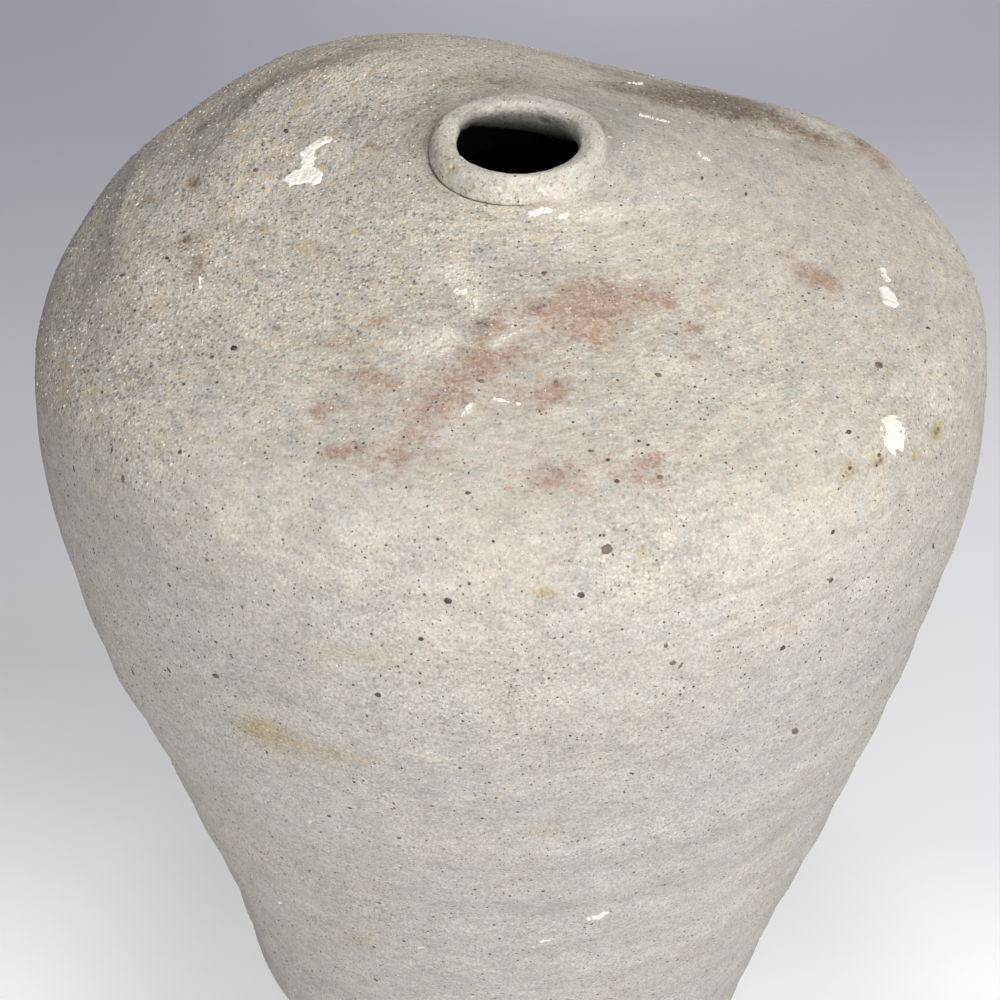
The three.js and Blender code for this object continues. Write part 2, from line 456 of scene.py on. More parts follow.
def relief(run, angle, place):
    """Height of the marks of making and firing over the smooth skin."""
    radius, height = on_line(run)
    rough = coarse_share(place)
    # Finger ridges on the wall, uneven as hands leave them, and finer turning marks
    fade = smooth(height, BASE_THICKNESS + 4, 40) * (1 - smooth(height, SEAM_HEIGHT - 60, SEAM_HEIGHT - 10))
    on_wall = smooth(height, 4, 30) * (1 - smooth(height, SEAM_HEIGHT + 6, SEAM_HEIGHT + 26))
    turn = height + 1.6 * lumps(place, 60, 1)
    h = RIDGE_DEPTH * fade * np.sin(2 * math.pi * turn / RIDGE_PITCH) * (1 + 0.7 * lumps(place, 50, 12))
    flat_place = place * np.array([0.16, 0.16, 1])
    h = h + TURNING_MARKS * on_wall * lumps(flat_place, 9, 11)
    h += FINE_TURNING_MARKS * on_wall * lumps(flat_place, 3.6, 13)
    # Where the wall is thrown a little narrower at the left and right, and fuller at the far left
    h += pushed(angle, DRAWN_IN_LEFT) * smooth(height, 50, 85) * (1 - smooth(height, 140, 165))
    h += pushed(angle, DRAWN_IN_RIGHT) * smooth(height, 36, 52) * (1 - smooth(height, 66, 92))
    h += pushed(angle, FULL_AT_LEFT) * line_mark(height, 218, 14)
    # Broad unevenness of hand-made clay
    h += BROAD_LUMPS * smooth(height, 10, 60) * lumps(place, 42, 2)
    h += LUMPS * lumps(place, 14, 3)
    # Coarse, open surface, worst at the upper left of the shoulder
    h += (0.04 + 0.13 * rough) * lumps(place, 5, 4)
    h += (0.02 + 0.04 * rough) * lumps(place, 3.2, 5)
    # What the kiln did to the shoulder
    on_top = (height > SEAM_HEIGHT) * smooth(radius, RING_RADIUS, 40)
    h += INNER_CREST_LIFT * crest(radius, angle, INNER_CREST) * on_top
    h += OUTER_CREST_LIFT * crest(radius, angle, OUTER_CREST) * on_top
    h += pushed(angle, RIM_OUT) * line_mark(radius, 94, 6) * on_top
    h += pushed(angle, RIM_IN) * line_mark(radius, 89, 6) * on_top
    deep, lip = groove(place)
    h += (FURROW_LIP * lip - FURROW_DEPTH * deep) * on_top
    # Luted seam and the turning lines over it, plain at the right and smoothed away elsewhere
    for knots, line_depth, wide in TURNING_LINES:
        h -= line_depth * turning_line(angle, height, place, knots, wide)
    h += SEAM_RIDGE * line_mark(height, SEAM_RIDGE_AT, 1.6) * angle_window(angle, -50, 18, 16)
    # The ring's luted joint shows as a crack at its left and front
    crack = line_mark(radius, RING_RADIUS + 0.1, 0.3) * (height > SEAM_HEIGHT)
    h -= CRACK_DEPTH * crack * angle_window(angle, 218, 44, 28)
    return h * smooth(run, 0, 3)


def pushed(angle, swell):
    """How far the clay is pushed outwards at an angle by one swell of the wall."""
    middle, half, edge, outwards = swell
    return outwards * angle_window(angle, middle, half, edge)


def line_mark(value, at, wide):
    """1 at a value, falling softly to 0 on both sides of it."""
    return np.exp(-(((value - at) / wide) ** 2))


def coarse_share(place):
    """How coarse the skin is: 1 at the shoulder's upper left, 0 on the smooth wall."""
    left = smooth(-place[..., 0], -25, 40) * smooth(place[..., 2], 212, 238) * smooth(place[..., 1], -82, -45)
    top = 0.45 * smooth(place[..., 2], 205, 240)
    return np.clip(top + 0.6 * left + 0.25 * lumps(place, 26, 14), 0.08, 1)


def closed_mesh(name, grid):
    """A tube of rows that closes on itself, so that it's a solid ring of clay."""
    rows, cols = grid.shape[:2]
    mesh = bpy.data.meshes.new(name)
    r, c = np.meshgrid(np.arange(rows), np.arange(cols), indexing="ij")
    r2, c2 = (r + 1) % rows, (c + 1) % cols
    quads = np.stack([r * cols + c, r * cols + c2, r2 * cols + c2, r2 * cols + c], axis=-1)
    fill_mesh(mesh, grid.reshape(-1, 3), quads.reshape(-1, 4))
    return mesh


def open_mesh(name, grid):
    """Rows joined one to the next, left open at the first and the last."""
    rows, cols = grid.shape[:2]
    mesh = bpy.data.meshes.new(name)
    r, c = np.meshgrid(np.arange(rows - 1), np.arange(cols), indexing="ij")
    c2 = (c + 1) % cols
    quads = np.stack([r * cols + c, r * cols + c2, (r + 1) * cols + c2, (r + 1) * cols + c], axis=-1)
    fill_mesh(mesh, grid.reshape(-1, 3), quads.reshape(-1, 4))
    return mesh


def fill_mesh(mesh, points, quads):
    mesh.vertices.add(len(points))
    mesh.vertices.foreach_set("co", (points * MM).astype(np.float32).ravel())
    mesh.loops.add(quads.size)
    mesh.loops.foreach_set("vertex_index", quads.astype(np.int32).ravel())
    mesh.polygons.add(len(quads))
    mesh.polygons.foreach_set("loop_start", np.arange(0, quads.size, 4, dtype=np.int32))
    mesh.polygons.foreach_set("use_smooth", np.ones(len(quads), bool))
    mesh.update(calc_edges=True)
    mesh.validate()


def add_object(name, mesh):
    piece = bpy.data.objects.new(name, mesh)
    bpy.context.collection.objects.link(piece)
    return piece


def outer_runs():
    """The rows of base, wall and dome, with one close to each cut so that the rims don't bend the shading."""
    base = np.linspace(FOOT_BEVEL, BASE_RUN, BASE_ROWS + 1)
    base = np.insert(base, [1, -1], [FOOT_BEVEL + NEAR_CUT, BASE_RUN - NEAR_CUT])
    wall = np.linspace(BASE_RUN, SEAM_RUN, WALL_ROWS + 1)
    wall = np.insert(wall, [1, -1], [BASE_RUN + NEAR_CUT, SEAM_RUN - NEAR_CUT])
    near_ring = RUN[np.argmax((LINE[:, 1] > SEAM_HEIGHT) & (LINE[:, 0] < NEAR_RING))]
    seam = np.linspace(SEAM_RUN, SEAM_RUN + SEAM_ROWS_UP_TO, SEAM_ROWS + 1)
    over = np.linspace(seam[-1], near_ring, DOME_ROWS + 1)
    dome = np.r_[seam[0], SEAM_RUN + NEAR_CUT, seam[1:], over[1:]]
    hole = np.linspace(near_ring, END_RUN, NEAR_RING_ROWS + 1)
    return base, wall, np.r_[dome, hole[1:]]


def dome_depth(run):
    """The dome's wall gets a little thinner to the top, and runs out to a thin edge at the mouth."""
    share = (run - SEAM_RUN) / (END_RUN - SEAM_RUN)
    depth = WALL + (DOME_WALL - WALL) * np.clip(share, 0, 1)
    radius = on_line(run)[0]
    near = 1 - np.clip((radius - DOME_HOLE_RADIUS) / (MOUTH_WALL_UP_TO - DOME_HOLE_RADIUS), 0, 1)
    return np.where(run > SEAM_RUN, depth + (MOUTH_WALL - depth) * near, WALL)


def make_skins():
    """The outside as one relief, cut into the potter's pieces, each closed with its inner face.

    Gives for each piece its grid and which of the grid's rows are the outside.
    """
    base, wall, dome = outer_runs()
    runs = np.r_[base, wall[1:], dome[1:]]
    smooth_skin = turned(*on_line(runs))
    marks = relief(*np.broadcast_arrays(runs[:, None], ANGLES[None, :]), smooth_skin)
    outside = smooth_skin + grid_normals(smooth_skin) * marks[..., None]
    cut_base, cut_wall = len(base), len(base) + len(wall) - 1
    skins = {}

    def keep(name, before, shown, after):
        rows = np.r_[np.zeros(len(before), bool), np.ones(len(shown), bool), np.zeros(len(after), bool)]
        skins[name] = np.concatenate([before, shown, after]), rows

    under = np.linspace(0.02, FOOT_RADIUS - FOOT_BEVEL, 6)
    bottom = turned(under, 0 * under)
    top_radius = np.linspace(on_line(BASE_RUN)[0] - 0.5, 0.02, 6)
    top = turned(top_radius, 0 * top_radius + BASE_THICKNESS)
    keep("base_skin", bottom, outside[:cut_base], top)

    none = outside[:0]
    inner = np.linspace(SEAM_RUN - LUTING_BEVEL, BASE_RUN, INNER_ROWS)
    keep("wall_skin", none, outside[cut_base - 1 : cut_wall], turned(*on_line(inner, WALL)))

    inner = np.linspace(END_RUN, SEAM_RUN - LUTING_BEVEL + SLIP_GAP, INNER_ROWS * 2)
    keep("shoulder_skin", none, outside[cut_wall - 1 :], turned(*on_line(inner, dome_depth(inner))))
    return skins, outside


def ring_grid():
    """The mouth's coil, and how much of its bore is painted black as shade: 0 none, 1 black."""
    section = spline(RING_SECTION, 6)
    foot_radius = np.linspace(DOME_HOLE_RADIUS, RING_RADIUS - 0.4, 6)
    foot = np.stack([foot_radius, np.linspace(-0.5, RING_FOOT_HEIGHT, 6)], axis=-1)
    section = np.concatenate([section, foot])
    radius, height = section[:, :1] + 0 * ANGLES, section[:, 1:] + 0 * ANGLES
    # Pressed out of round by the fingers: wider behind, narrower at the right
    outer = smooth(radius, RING_CREST_RADIUS, RING_CREST_RADIUS + 2)
    pressed = 0.8 * angle_window(ANGLES, 90, 50, 40) - 0.3 * angle_window(ANGLES, 0, 30, 40)
    inner = 1 - smooth(radius, 13.2, RING_CREST_RADIUS)
    pinched = 0.9 * angle_window(ANGLES, 335, 25, 40) + 0.5 * angle_window(ANGLES, 205, 25, 40)
    radius = radius + pressed * outer - pinched * inner
    grid = turned(radius, MOUTH_HEIGHT + height)
    # Its foot follows the shelf, and its lip and its bore are level
    rise = shelf(radius * np.cos(ANGLES), radius * np.sin(ANGLES))
    up = (height - RING_FOOT_HEIGHT) / (RING_CREST_HEIGHT - RING_FOOT_HEIGHT)
    level = np.clip(up, 0, 1) ** 1.6
    level[radius < RING_CREST_RADIUS] = 1
    level[-len(foot):] = 0
    grid[..., 2] -= rise * level
    grain = 0.12 * lumps(grid, 8, 21) + 0.06 * lumps(grid, 2.4, 22) + 0.04 * lumps(grid, 1.1, 23)
    grain -= 0.30 * smooth(lumps(grid, 2.0, 24), 0.66, 0.9)
    nick = angle_window(ANGLES, NICK_AZIMUTH, 1.5, 4) * line_mark(height, NICK_HEIGHT, 1.0)
    grain -= NICK_DEPTH * nick * (radius < NICK_INSIDE_OF)
    azimuth = np.degrees(ANGLES) % 360
    knots_at, knots_height = zip(*BORE_LIT_TO)
    ragged = 0.10 + 0.35 * angle_window(ANGLES, 170, 30, 35)
    above = height - np.interp(azimuth, knots_at, knots_height) - ragged * lumps(grid, 2.2, 25)
    # Painted shade: the wall gets darker from the lip down, most where it faces the lamps least, and black
    # below the lit line
    behind = angle_window(ANGLES, 92, 38, 36)
    shade = 0.60 * behind * smooth(RING_CREST_HEIGHT - height, 0, 2.6)
    painted_black_below = 0.9 * (1 - smooth(above / (0.5 + 4 * behind), 0, 1))
    dark = 1 - (1 - shade) * (1 - painted_black_below) * smooth(above, -0.25, 0.35)
    dark = dark * (radius < DOME_HOLE_RADIUS)
    return grid + grid_normals(grid) * grain[..., None], dark


def make_group(name, inputs, outputs):
    group = bpy.data.node_groups.new(name, "ShaderNodeTree")
    for label, kind, value in inputs:
        socket = group.interface.new_socket(label, in_out="INPUT", socket_type=kind)
        socket.default_value = value
    for label, kind in outputs:
        group.interface.new_socket(label, in_out="OUTPUT", socket_type=kind)
    return group, group.nodes.new("NodeGroupInput"), group.nodes.new("NodeGroupOutput")


def math_node(tree, operation, first, second=None, third=None, clamp=False):
    node = tree.nodes.new("ShaderNodeMath")
    node.operation = operation
    node.use_clamp = clamp
    for socket, value in zip(node.inputs, (first, second, third)):
        if value is None:
            continue
        if isinstance(value, (int, float)):
            socket.default_value = value
        else:
            tree.links.new(value, socket)
    return node.outputs[0]


def mix_colour(tree, factor, first, second, blend="MIX"):
    node = tree.nodes.new("ShaderNodeMix")
    node.data_type = "RGBA"
    node.blend_type = blend
    for index, value in ((0, factor), (6, first), (7, second)):
        socket = node.inputs[index]
        if isinstance(value, (tuple, float, int)):
            socket.default_value = value
        else:
            tree.links.new(value, socket)
    return node.outputs[2]


def vector_node(tree, operation, first, second=None, third=None):
    node = tree.nodes.new("ShaderNodeVectorMath")
    node.operation = operation
    tree.links.new(first, node.inputs[0])
    if second is not None:
        node.inputs[1].default_value = second
    if third is not None:
        tree.links.new(third, node.inputs[2])
    return node.outputs["Value" if operation == "LENGTH" else "Vector"]


def noise_node(tree, place, size_mm, detail=2.0, rough=0.5, distortion=0.0, radius=None, output="Fac"):
    node = tree.nodes.new("ShaderNodeTexNoise")
    if radius is not None:
        node.noise_dimensions = "4D"
        tree.links.new(radius, node.inputs["W"])
    node.inputs["Scale"].default_value = 1 / (size_mm * MM)
    node.inputs["Detail"].default_value = detail
    node.inputs["Roughness"].default_value = rough
    node.inputs["Distortion"].default_value = distortion
    tree.links.new(place, node.inputs["Vector"])
    return node.outputs[output]


def ramp_between(tree, value, low, high):
    """0 up to low and 1 from high on, soft at both ends. Low may be the larger one."""
    node = tree.nodes.new("ShaderNodeMapRange")
    node.interpolation_type = "SMOOTHSTEP"
    node.inputs["From Min"].default_value = low
    node.inputs["From Max"].default_value = high
    tree.links.new(value, node.inputs["Value"])
    return node.outputs["Result"]


def linear(value):
    share = value / 255
    return share / 12.92 if share <= 0.04045 else ((share + 0.055) / 1.055) ** 2.4


def srgb(red, green, blue):
    """A colour as seen, 0 to 255, as the linear colour that a shader takes."""
    return (linear(red), linear(green), linear(blue), 1.0)


def grey(value):
    return (value, value, value, 1.0)


# Tints of the clay and of what lies in it
CREAM = srgb(208, 197, 168)
COOL_GREY = srgb(183, 187, 184)
ROSE_GREY = srgb(193, 179, 175)
PALE_FLAKE = srgb(224, 209, 178)
SANDY_FLAKE = srgb(208, 186, 146)
BROWN_PIT = srgb(122, 107, 92)
IRON_SPECK = srgb(74, 68, 62)
CHALKY_GRIT = srgb(240, 234, 220)
# Painted black shade, for the unlit depth of the bore and of the dome's hole
PAINTED_BLACK_SHADE = srgb(3, 3, 3)

# The paper as it is under the jar, as it shines far behind, and the wall of the studio
PAPER_ITSELF = srgb(214, 214, 216)
PAPER_SHEEN = srgb(192, 192, 200)
STUDIO_WALL = srgb(163, 166, 176)
STUDIO_LIGHT = (0.03, 0.03, 0.032, 1)

# Sizes in the clay, in millimetres: its grain, its crumbs, and its cloudiness from fine to broad
GRAIN = 0.55
CRUMB = 0.85
TURNED_GRAIN = 1.7
STREAK = 4
PATCH = 5
ROSE_PATCH = 8
BLOTCH = 14
BROAD_TONE = 48

# How high the grain stands in the clay's bump, in millimetres, and how strongly it shows
BUMP_HEIGHT = 0.30
BUMP_STRENGTH = 0.8

# Cells of the specks' lattices, in millimetres
GRIT_CELL = 1.45
FINE_SPECK_CELL = 0.95
DARK_SPECK_CELL = 3.0

# Between these heights in metres the wall's cooler clay goes over to the shoulder's warmer clay
WALL_UP_TO = 0.195
SHOULDER_FROM = 0.250


def speckle_group():
    """Round specks in the clay: one in some cells of a lattice, each with its own size."""
    group, given, out = make_group(
        "specks",
        [
            ("Place", "NodeSocketVector", (0, 0, 0)),
            ("Cells per metre", "NodeSocketFloat", 300.0),
            ("Share of cells", "NodeSocketFloat", 0.4),
            ("Radius in cells", "NodeSocketFloat", 0.2),
        ],
        [("Mask", "NodeSocketFloat")],
    )
    cells = group.nodes.new("ShaderNodeTexVoronoi")
    cells.inputs["Randomness"].default_value = 1.0
    group.links.new(given.outputs["Place"], cells.inputs["Vector"])
    group.links.new(given.outputs["Cells per metre"], cells.inputs["Scale"])
    dice = group.nodes.new("ShaderNodeSeparateColor")
    group.links.new(cells.outputs["Color"], dice.inputs["Color"])
    there = math_node(group, "LESS_THAN", dice.outputs[0], given.outputs["Share of cells"])
    size = math_node(group, "MULTIPLY_ADD", dice.outputs[1], 0.7, 0.3)
    size = math_node(group, "MULTIPLY", size, given.outputs["Radius in cells"])
    inside = math_node(group, "DIVIDE", cells.outputs["Distance"], size)
    edge = ramp_between(group, inside, 1.0, 0.75)
    group.links.new(math_node(group, "MULTIPLY", edge, there), out.inputs["Mask"])
    return group


def crumb_value(tree, place, size_mm):
    """Crumbs packed side by side, each with its own value from 0 to 1, and 0.5 in the joints between them."""
    stir = noise_node(tree, place, 0.5 * size_mm, 1, output="Color")
    pushed = vector_node(tree, "MULTIPLY_ADD", stir, (0.5 * size_mm * MM,) * 3, place)
    cells = tree.nodes.new("ShaderNodeTexVoronoi")
    cells.inputs["Scale"].default_value = 1 / (size_mm * MM)
    tree.links.new(pushed, cells.inputs["Vector"])
    dice = tree.nodes.new("ShaderNodeSeparateColor")
    tree.links.new(cells.outputs["Color"], dice.inputs["Color"])
    body = ramp_between(tree, cells.outputs["Distance"], 0.62, 0.34)
    return math_node(tree, "MULTIPLY_ADD", math_node(tree, "SUBTRACT", dice.outputs[0], 0.5), body, 0.5)


def clay_group(specks):
    """Dry stoneware: warm on the shoulder, cooler on the wall, mottled, with grain and specks."""
    group, given, out = make_group(
        "dry_clay",
        [
            ("Place", "NodeSocketVector", (0, 0, 0)),
            ("Coarse", "NodeSocketFloat", 0.5),
            ("Warm clay", "NodeSocketColor", (0.5, 0.5, 0.5, 1)),
            ("Cool clay", "NodeSocketColor", (0.5, 0.5, 0.5, 1)),
            ("Speck colour", "NodeSocketColor", (0.1, 0.1, 0.1, 1)),
            ("Grit colour", "NodeSocketColor", (0.8, 0.8, 0.7, 1)),
            ("Grain", "NodeSocketFloat", 0.8),
        ],
        [("Colour", "NodeSocketColor"), ("Roughness", "NodeSocketFloat"), ("Height", "NodeSocketFloat")],
    )
    place = given.outputs["Place"]
    coarse = given.outputs["Coarse"]
    split = group.nodes.new("ShaderNodeSeparateXYZ")
    group.links.new(place, split.inputs[0])
    upper = ramp_between(group, split.outputs["Z"], WALL_UP_TO, SHOULDER_FROM)
    broad = ramp_between(group, noise_node(group, place, BROAD_TONE, 3, 0.55, 0.6), 0.34, 0.66)
    warmth = math_node(group, "MULTIPLY_ADD", upper, 0.55, math_node(group, "MULTIPLY", broad, 0.45))
    colour = mix_colour(group, warmth, given.outputs["Cool clay"], given.outputs["Warm clay"])
    radius = vector_node(group, "LENGTH", vector_node(group, "MULTIPLY", place, (1, 1, 0)))

    def drawn_noise(size_mm, drawn_out, detail, rough):
        """Noise that the turning drew out: fast up the wall or outwards, and slow round the jar."""
        slow = 1 / drawn_out
        slowed = vector_node(group, "MULTIPLY", place, (slow, slow, 1))
        return noise_node(group, slowed, size_mm, detail, rough, radius=radius)

    # Tints of the body, plainer on the wall than on the shoulder
    vivid = math_node(group, "MULTIPLY_ADD", upper, 0.55, 0.45)

    def tint_by(value, low, high, tint, most):
        share = math_node(group, "MULTIPLY", ramp_between(group, value, low, high), vivid)
        return mix_colour(group, math_node(group, "MULTIPLY", share, most), colour, tint)

    patches = noise_node(group, place, PATCH, 4, 0.65, 0.4)
    other_patches = drawn_noise(ROSE_PATCH, 1.5, 4, 0.65)
    colour = tint_by(patches, 0.50, 0.70, CREAM, 0.30)
    colour = tint_by(patches, 0.50, 0.32, COOL_GREY, 0.42)
    colour = tint_by(other_patches, 0.52, 0.70, ROSE_GREY, 0.46)

    def swing(value, depth):
        """A grey that multiplies the colour: 1 where the value is a half."""
        away = math_node(group, "SUBTRACT", value, 0.5)
        return to_grey(group, math_node(group, "MULTIPLY_ADD", away, depth, 1.0))

    # The coarser the skin, the stronger its grain, and the bare wall shows more of it than the shoulder
    boost = math_node(group, "MULTIPLY_ADD", coarse, 0.55, 0.80)
    bare = math_node(group, "MULTIPLY_ADD", upper, -0.80, 1.6)
    bare = math_node(group, "MULTIPLY_ADD", coarse, 0.20, bare)
    depth = math_node(group, "MULTIPLY", given.outputs["Grain"], boost)
    grain = noise_node(group, place, GRAIN, 3, 0.75)
    crumbs = crumb_value(group, place, CRUMB)
    middle = drawn_noise(TURNED_GRAIN, 2.2, 3, 0.65)
    lumpy = drawn_noise(PATCH, 1.6, 3, 0.6)
    blotch = noise_node(group, place, BLOTCH, 5, 0.65)
    streak = drawn_noise(STREAK, 7, 4, 0.65)
    on_wall = math_node(group, "MULTIPLY_ADD", upper, -0.08, 0.22)
    mottled = math_node(group, "MULTIPLY_ADD", upper, 0.18, 0.28)
    for value, share in (
        (grain, math_node(group, "MULTIPLY", depth, bare)),
        (middle, math_node(group, "MULTIPLY", depth, 0.55)),
        (lumpy, mottled),
        (blotch, mottled),
        (streak, on_wall),
    ):
        colour = mix_colour(group, 1.0, colour, swing(value, share), "MULTIPLY")

    # Crumbs: pale where they stand proud, dark where one broke out
    for low, high, tint, least, more in (
        (0.66, 0.88, "Grit colour", 0.06, 0.62),
        (0.34, 0.12, "Speck colour", 0.05, 0.40),
    ):
        share = math_node(group, "MULTIPLY_ADD", coarse, more, least)
        share = math_node(group, "MULTIPLY", share, ramp_between(group, crumbs, low, high))
        share = math_node(group, "MULTIPLY", share, bare)
        colour = mix_colour(group, share, colour, given.outputs[tint])

    # Pale flakes and brown pits, only where the skin is coarse
    very_coarse = math_node(group, "POWER", coarse, 2.0)
    for size_mm, low, high, most, tint in (
        (2.7, 0.575, 0.64, 0.70, PALE_FLAKE),
        (2.2, 0.39, 0.33, 0.60, BROWN_PIT),
        (6.0, 0.57, 0.64, 0.50, SANDY_FLAKE),
    ):
        share = ramp_between(group, drawn_noise(size_mm, 1.7, 4, 0.7), low, high)
        share = math_node(group, "MULTIPLY", share, math_node(group, "MULTIPLY", very_coarse, most))
        colour = mix_colour(group, share, colour, tint)

    def layer(cells_mm, share, radius):
        node = group.nodes.new("ShaderNodeGroup")
        node.node_tree = specks
        group.links.new(place, node.inputs["Place"])
        node.inputs["Cells per metre"].default_value = 1 / (cells_mm * MM)
        group.links.new(share, node.inputs["Share of cells"])
        node.inputs["Radius in cells"].default_value = radius
        return node.outputs["Mask"]

    def speckle(mask, strength, tint):
        return mix_colour(group, math_node(group, "MULTIPLY", mask, strength), colour, tint)

    grit_share = math_node(group, "MULTIPLY_ADD", coarse, 0.48, 0.07)
    pale = layer(GRIT_CELL, grit_share, 0.24)
    colour = speckle(pale, 0.75, given.outputs["Grit colour"])
    fine = layer(FINE_SPECK_CELL, math_node(group, "MULTIPLY_ADD", coarse, -0.02, 0.42), 0.23)
    colour = speckle(fine, math_node(group, "MULTIPLY", bare, 0.64), given.outputs["Speck colour"])
    dark = layer(DARK_SPECK_CELL, math_node(group, "MULTIPLY_ADD", coarse, -0.05, 0.50), 0.135)
    colour = speckle(dark, 0.85, given.outputs["Speck colour"])
    group.links.new(colour, out.inputs["Colour"])
    group.links.new(math_node(group, "MULTIPLY_ADD", grain, 0.12, 0.84), out.inputs["Roughness"])
    # Relief: open grain, crumbs, pits at the dark specks, grit that stands proud
    height = math_node(group, "MULTIPLY_ADD", middle, 1.9, math_node(group, "MULTIPLY", grain, 0.45))
    standing = math_node(group, "MULTIPLY", crumbs, math_node(group, "MULTIPLY_ADD", coarse, 0.7, 0.10))
    height = math_node(group, "ADD", height, standing)
    height = math_node(group, "MULTIPLY", height, math_node(group, "MULTIPLY_ADD", coarse, 0.8, 0.50))
    height = math_node(group, "MULTIPLY_ADD", fine, -0.5, height)
    group.links.new(math_node(group, "MULTIPLY_ADD", pale, 0.35, height), out.inputs["Height"])
    return group


def to_grey(tree, value):
    node = tree.nodes.new("ShaderNodeCombineColor")
    for socket in node.inputs[:3]:
        tree.links.new(value, socket)
    return node.outputs[0]


def stain_group():
    """A mark on the clay: a soft reach painted on the mesh, made blotchy and granular by noise."""
    group, given, out = make_group(
        "stain",
        [
            ("Place", "NodeSocketVector", (0, 0, 0)),
            ("Reach", "NodeSocketFloat", 0.0),
            ("Blotches per metre", "NodeSocketFloat", 200.0),
            ("Edge", "NodeSocketFloat", 0.6),
            ("Granular", "NodeSocketFloat", 0.8),
            ("Strength", "NodeSocketFloat", 0.5),
        ],
        [("Mask", "NodeSocketFloat")],
    )
    place = given.outputs["Place"]
    noise = group.nodes.new("ShaderNodeTexNoise")
    noise.inputs["Detail"].default_value = 5
    noise.inputs["Roughness"].default_value = 0.7
    group.links.new(place, noise.inputs["Vector"])
    group.links.new(given.outputs["Blotches per metre"], noise.inputs["Scale"])
    away = math_node(group, "SUBTRACT", noise.outputs["Fac"], 0.5)
    broken = math_node(group, "MULTIPLY_ADD", away, given.outputs["Edge"], given.outputs["Reach"])
    inside = ramp_between(group, broken, 0.0, 0.9)
    grain = math_node(group, "SUBTRACT", noise_node(group, place, 0.8, 3, 0.7), 0.5)
    grain = math_node(group, "MULTIPLY_ADD", grain, given.outputs["Granular"], 1.0)
    value = math_node(group, "MULTIPLY", inside, grain)
    value = math_node(group, "MULTIPLY", value, given.outputs["Strength"], clamp=True)
    group.links.new(value, out.inputs["Mask"])
    return group


SPECKS = speckle_group()
DRY_CLAY = clay_group(SPECKS)
STAIN = stain_group()


def clay_material(name, warm, cool, grain, gloss, stains):
    """Unglazed clay. stains: attribute, blend, colour, blotch size, edge, granular, strength."""
    material = bpy.data.materials.new(name)
    material.use_nodes = True
    tree = material.node_tree
    shader = tree.nodes["Principled BSDF"]
    place = tree.nodes.new("ShaderNodeTexCoord").outputs["Object"]
    clay = tree.nodes.new("ShaderNodeGroup")
    clay.node_tree = DRY_CLAY
    tree.links.new(place, clay.inputs["Place"])
    tree.links.new(painted(tree, "coarse"), clay.inputs["Coarse"])
    clay.inputs["Warm clay"].default_value = warm
    clay.inputs["Cool clay"].default_value = cool
    clay.inputs["Speck colour"].default_value = IRON_SPECK
    clay.inputs["Grit colour"].default_value = CHALKY_GRIT
    clay.inputs["Grain"].default_value = grain
    colour = clay.outputs["Colour"]
    for attribute, blend, tint, blotch_mm, edge, granular, strength in stains:
        mark = tree.nodes.new("ShaderNodeGroup")
        mark.node_tree = STAIN
        tree.links.new(place, mark.inputs["Place"])
        tree.links.new(painted(tree, attribute), mark.inputs["Reach"])
        mark.inputs["Blotches per metre"].default_value = 1 / (blotch_mm * MM)
        mark.inputs["Edge"].default_value = edge
        mark.inputs["Granular"].default_value = granular
        mark.inputs["Strength"].default_value = strength
        colour = mix_colour(tree, mark.outputs["Mask"], colour, tint, blend)
    # Painted light and shade, with the clay's own tone, multiply the colour
    tone = math_node(tree, "ADD", painted(tree, "tone"), 1.0)
    colour = mix_colour(tree, 1.0, colour, to_grey(tree, tone), "MULTIPLY")
    # Painted shade: black where the bore and the hole are unlit
    dark = painted(tree, "painted_black_shade")
    colour = mix_colour(tree, dark, colour, PAINTED_BLACK_SHADE)
    bump = tree.nodes.new("ShaderNodeBump")
    bump.inputs["Distance"].default_value = BUMP_HEIGHT * MM
    bump.inputs["Strength"].default_value = BUMP_STRENGTH
    tree.links.new(clay.outputs["Height"], bump.inputs["Height"])
    tree.links.new(colour, shader.inputs["Base Color"])
    tree.links.new(clay.outputs["Roughness"], shader.inputs["Roughness"])
    tree.links.new(bump.outputs["Normal"], shader.inputs["Normal"])
    shader.inputs["Specular IOR Level"].default_value = gloss
    return material


def painted(tree, attribute):
    """The value that the mesh holds under this name."""
    reach = tree.nodes.new("ShaderNodeAttribute")
    reach.attribute_name = attribute
    return reach.outputs["Fac"]


def grain_material(name, colour, other, rough):
    """The surface of a grain that stands in the clay."""
    material = bpy.data.materials.new(name)
    material.use_nodes = True
    tree = material.node_tree
    shader = tree.nodes["Principled BSDF"]
    place = tree.nodes.new("ShaderNodeTexCoord").outputs["Object"]
    mottle = ramp_between(tree, noise_node(tree, place, 5, 3, 0.7), 0.36, 0.62)
    tree.links.new(mix_colour(tree, mottle, colour, other), shader.inputs["Base Color"])
    tree.links.new(math_node(tree, "MULTIPLY_ADD", mottle, 0.2, rough), shader.inputs["Roughness"])
    return material


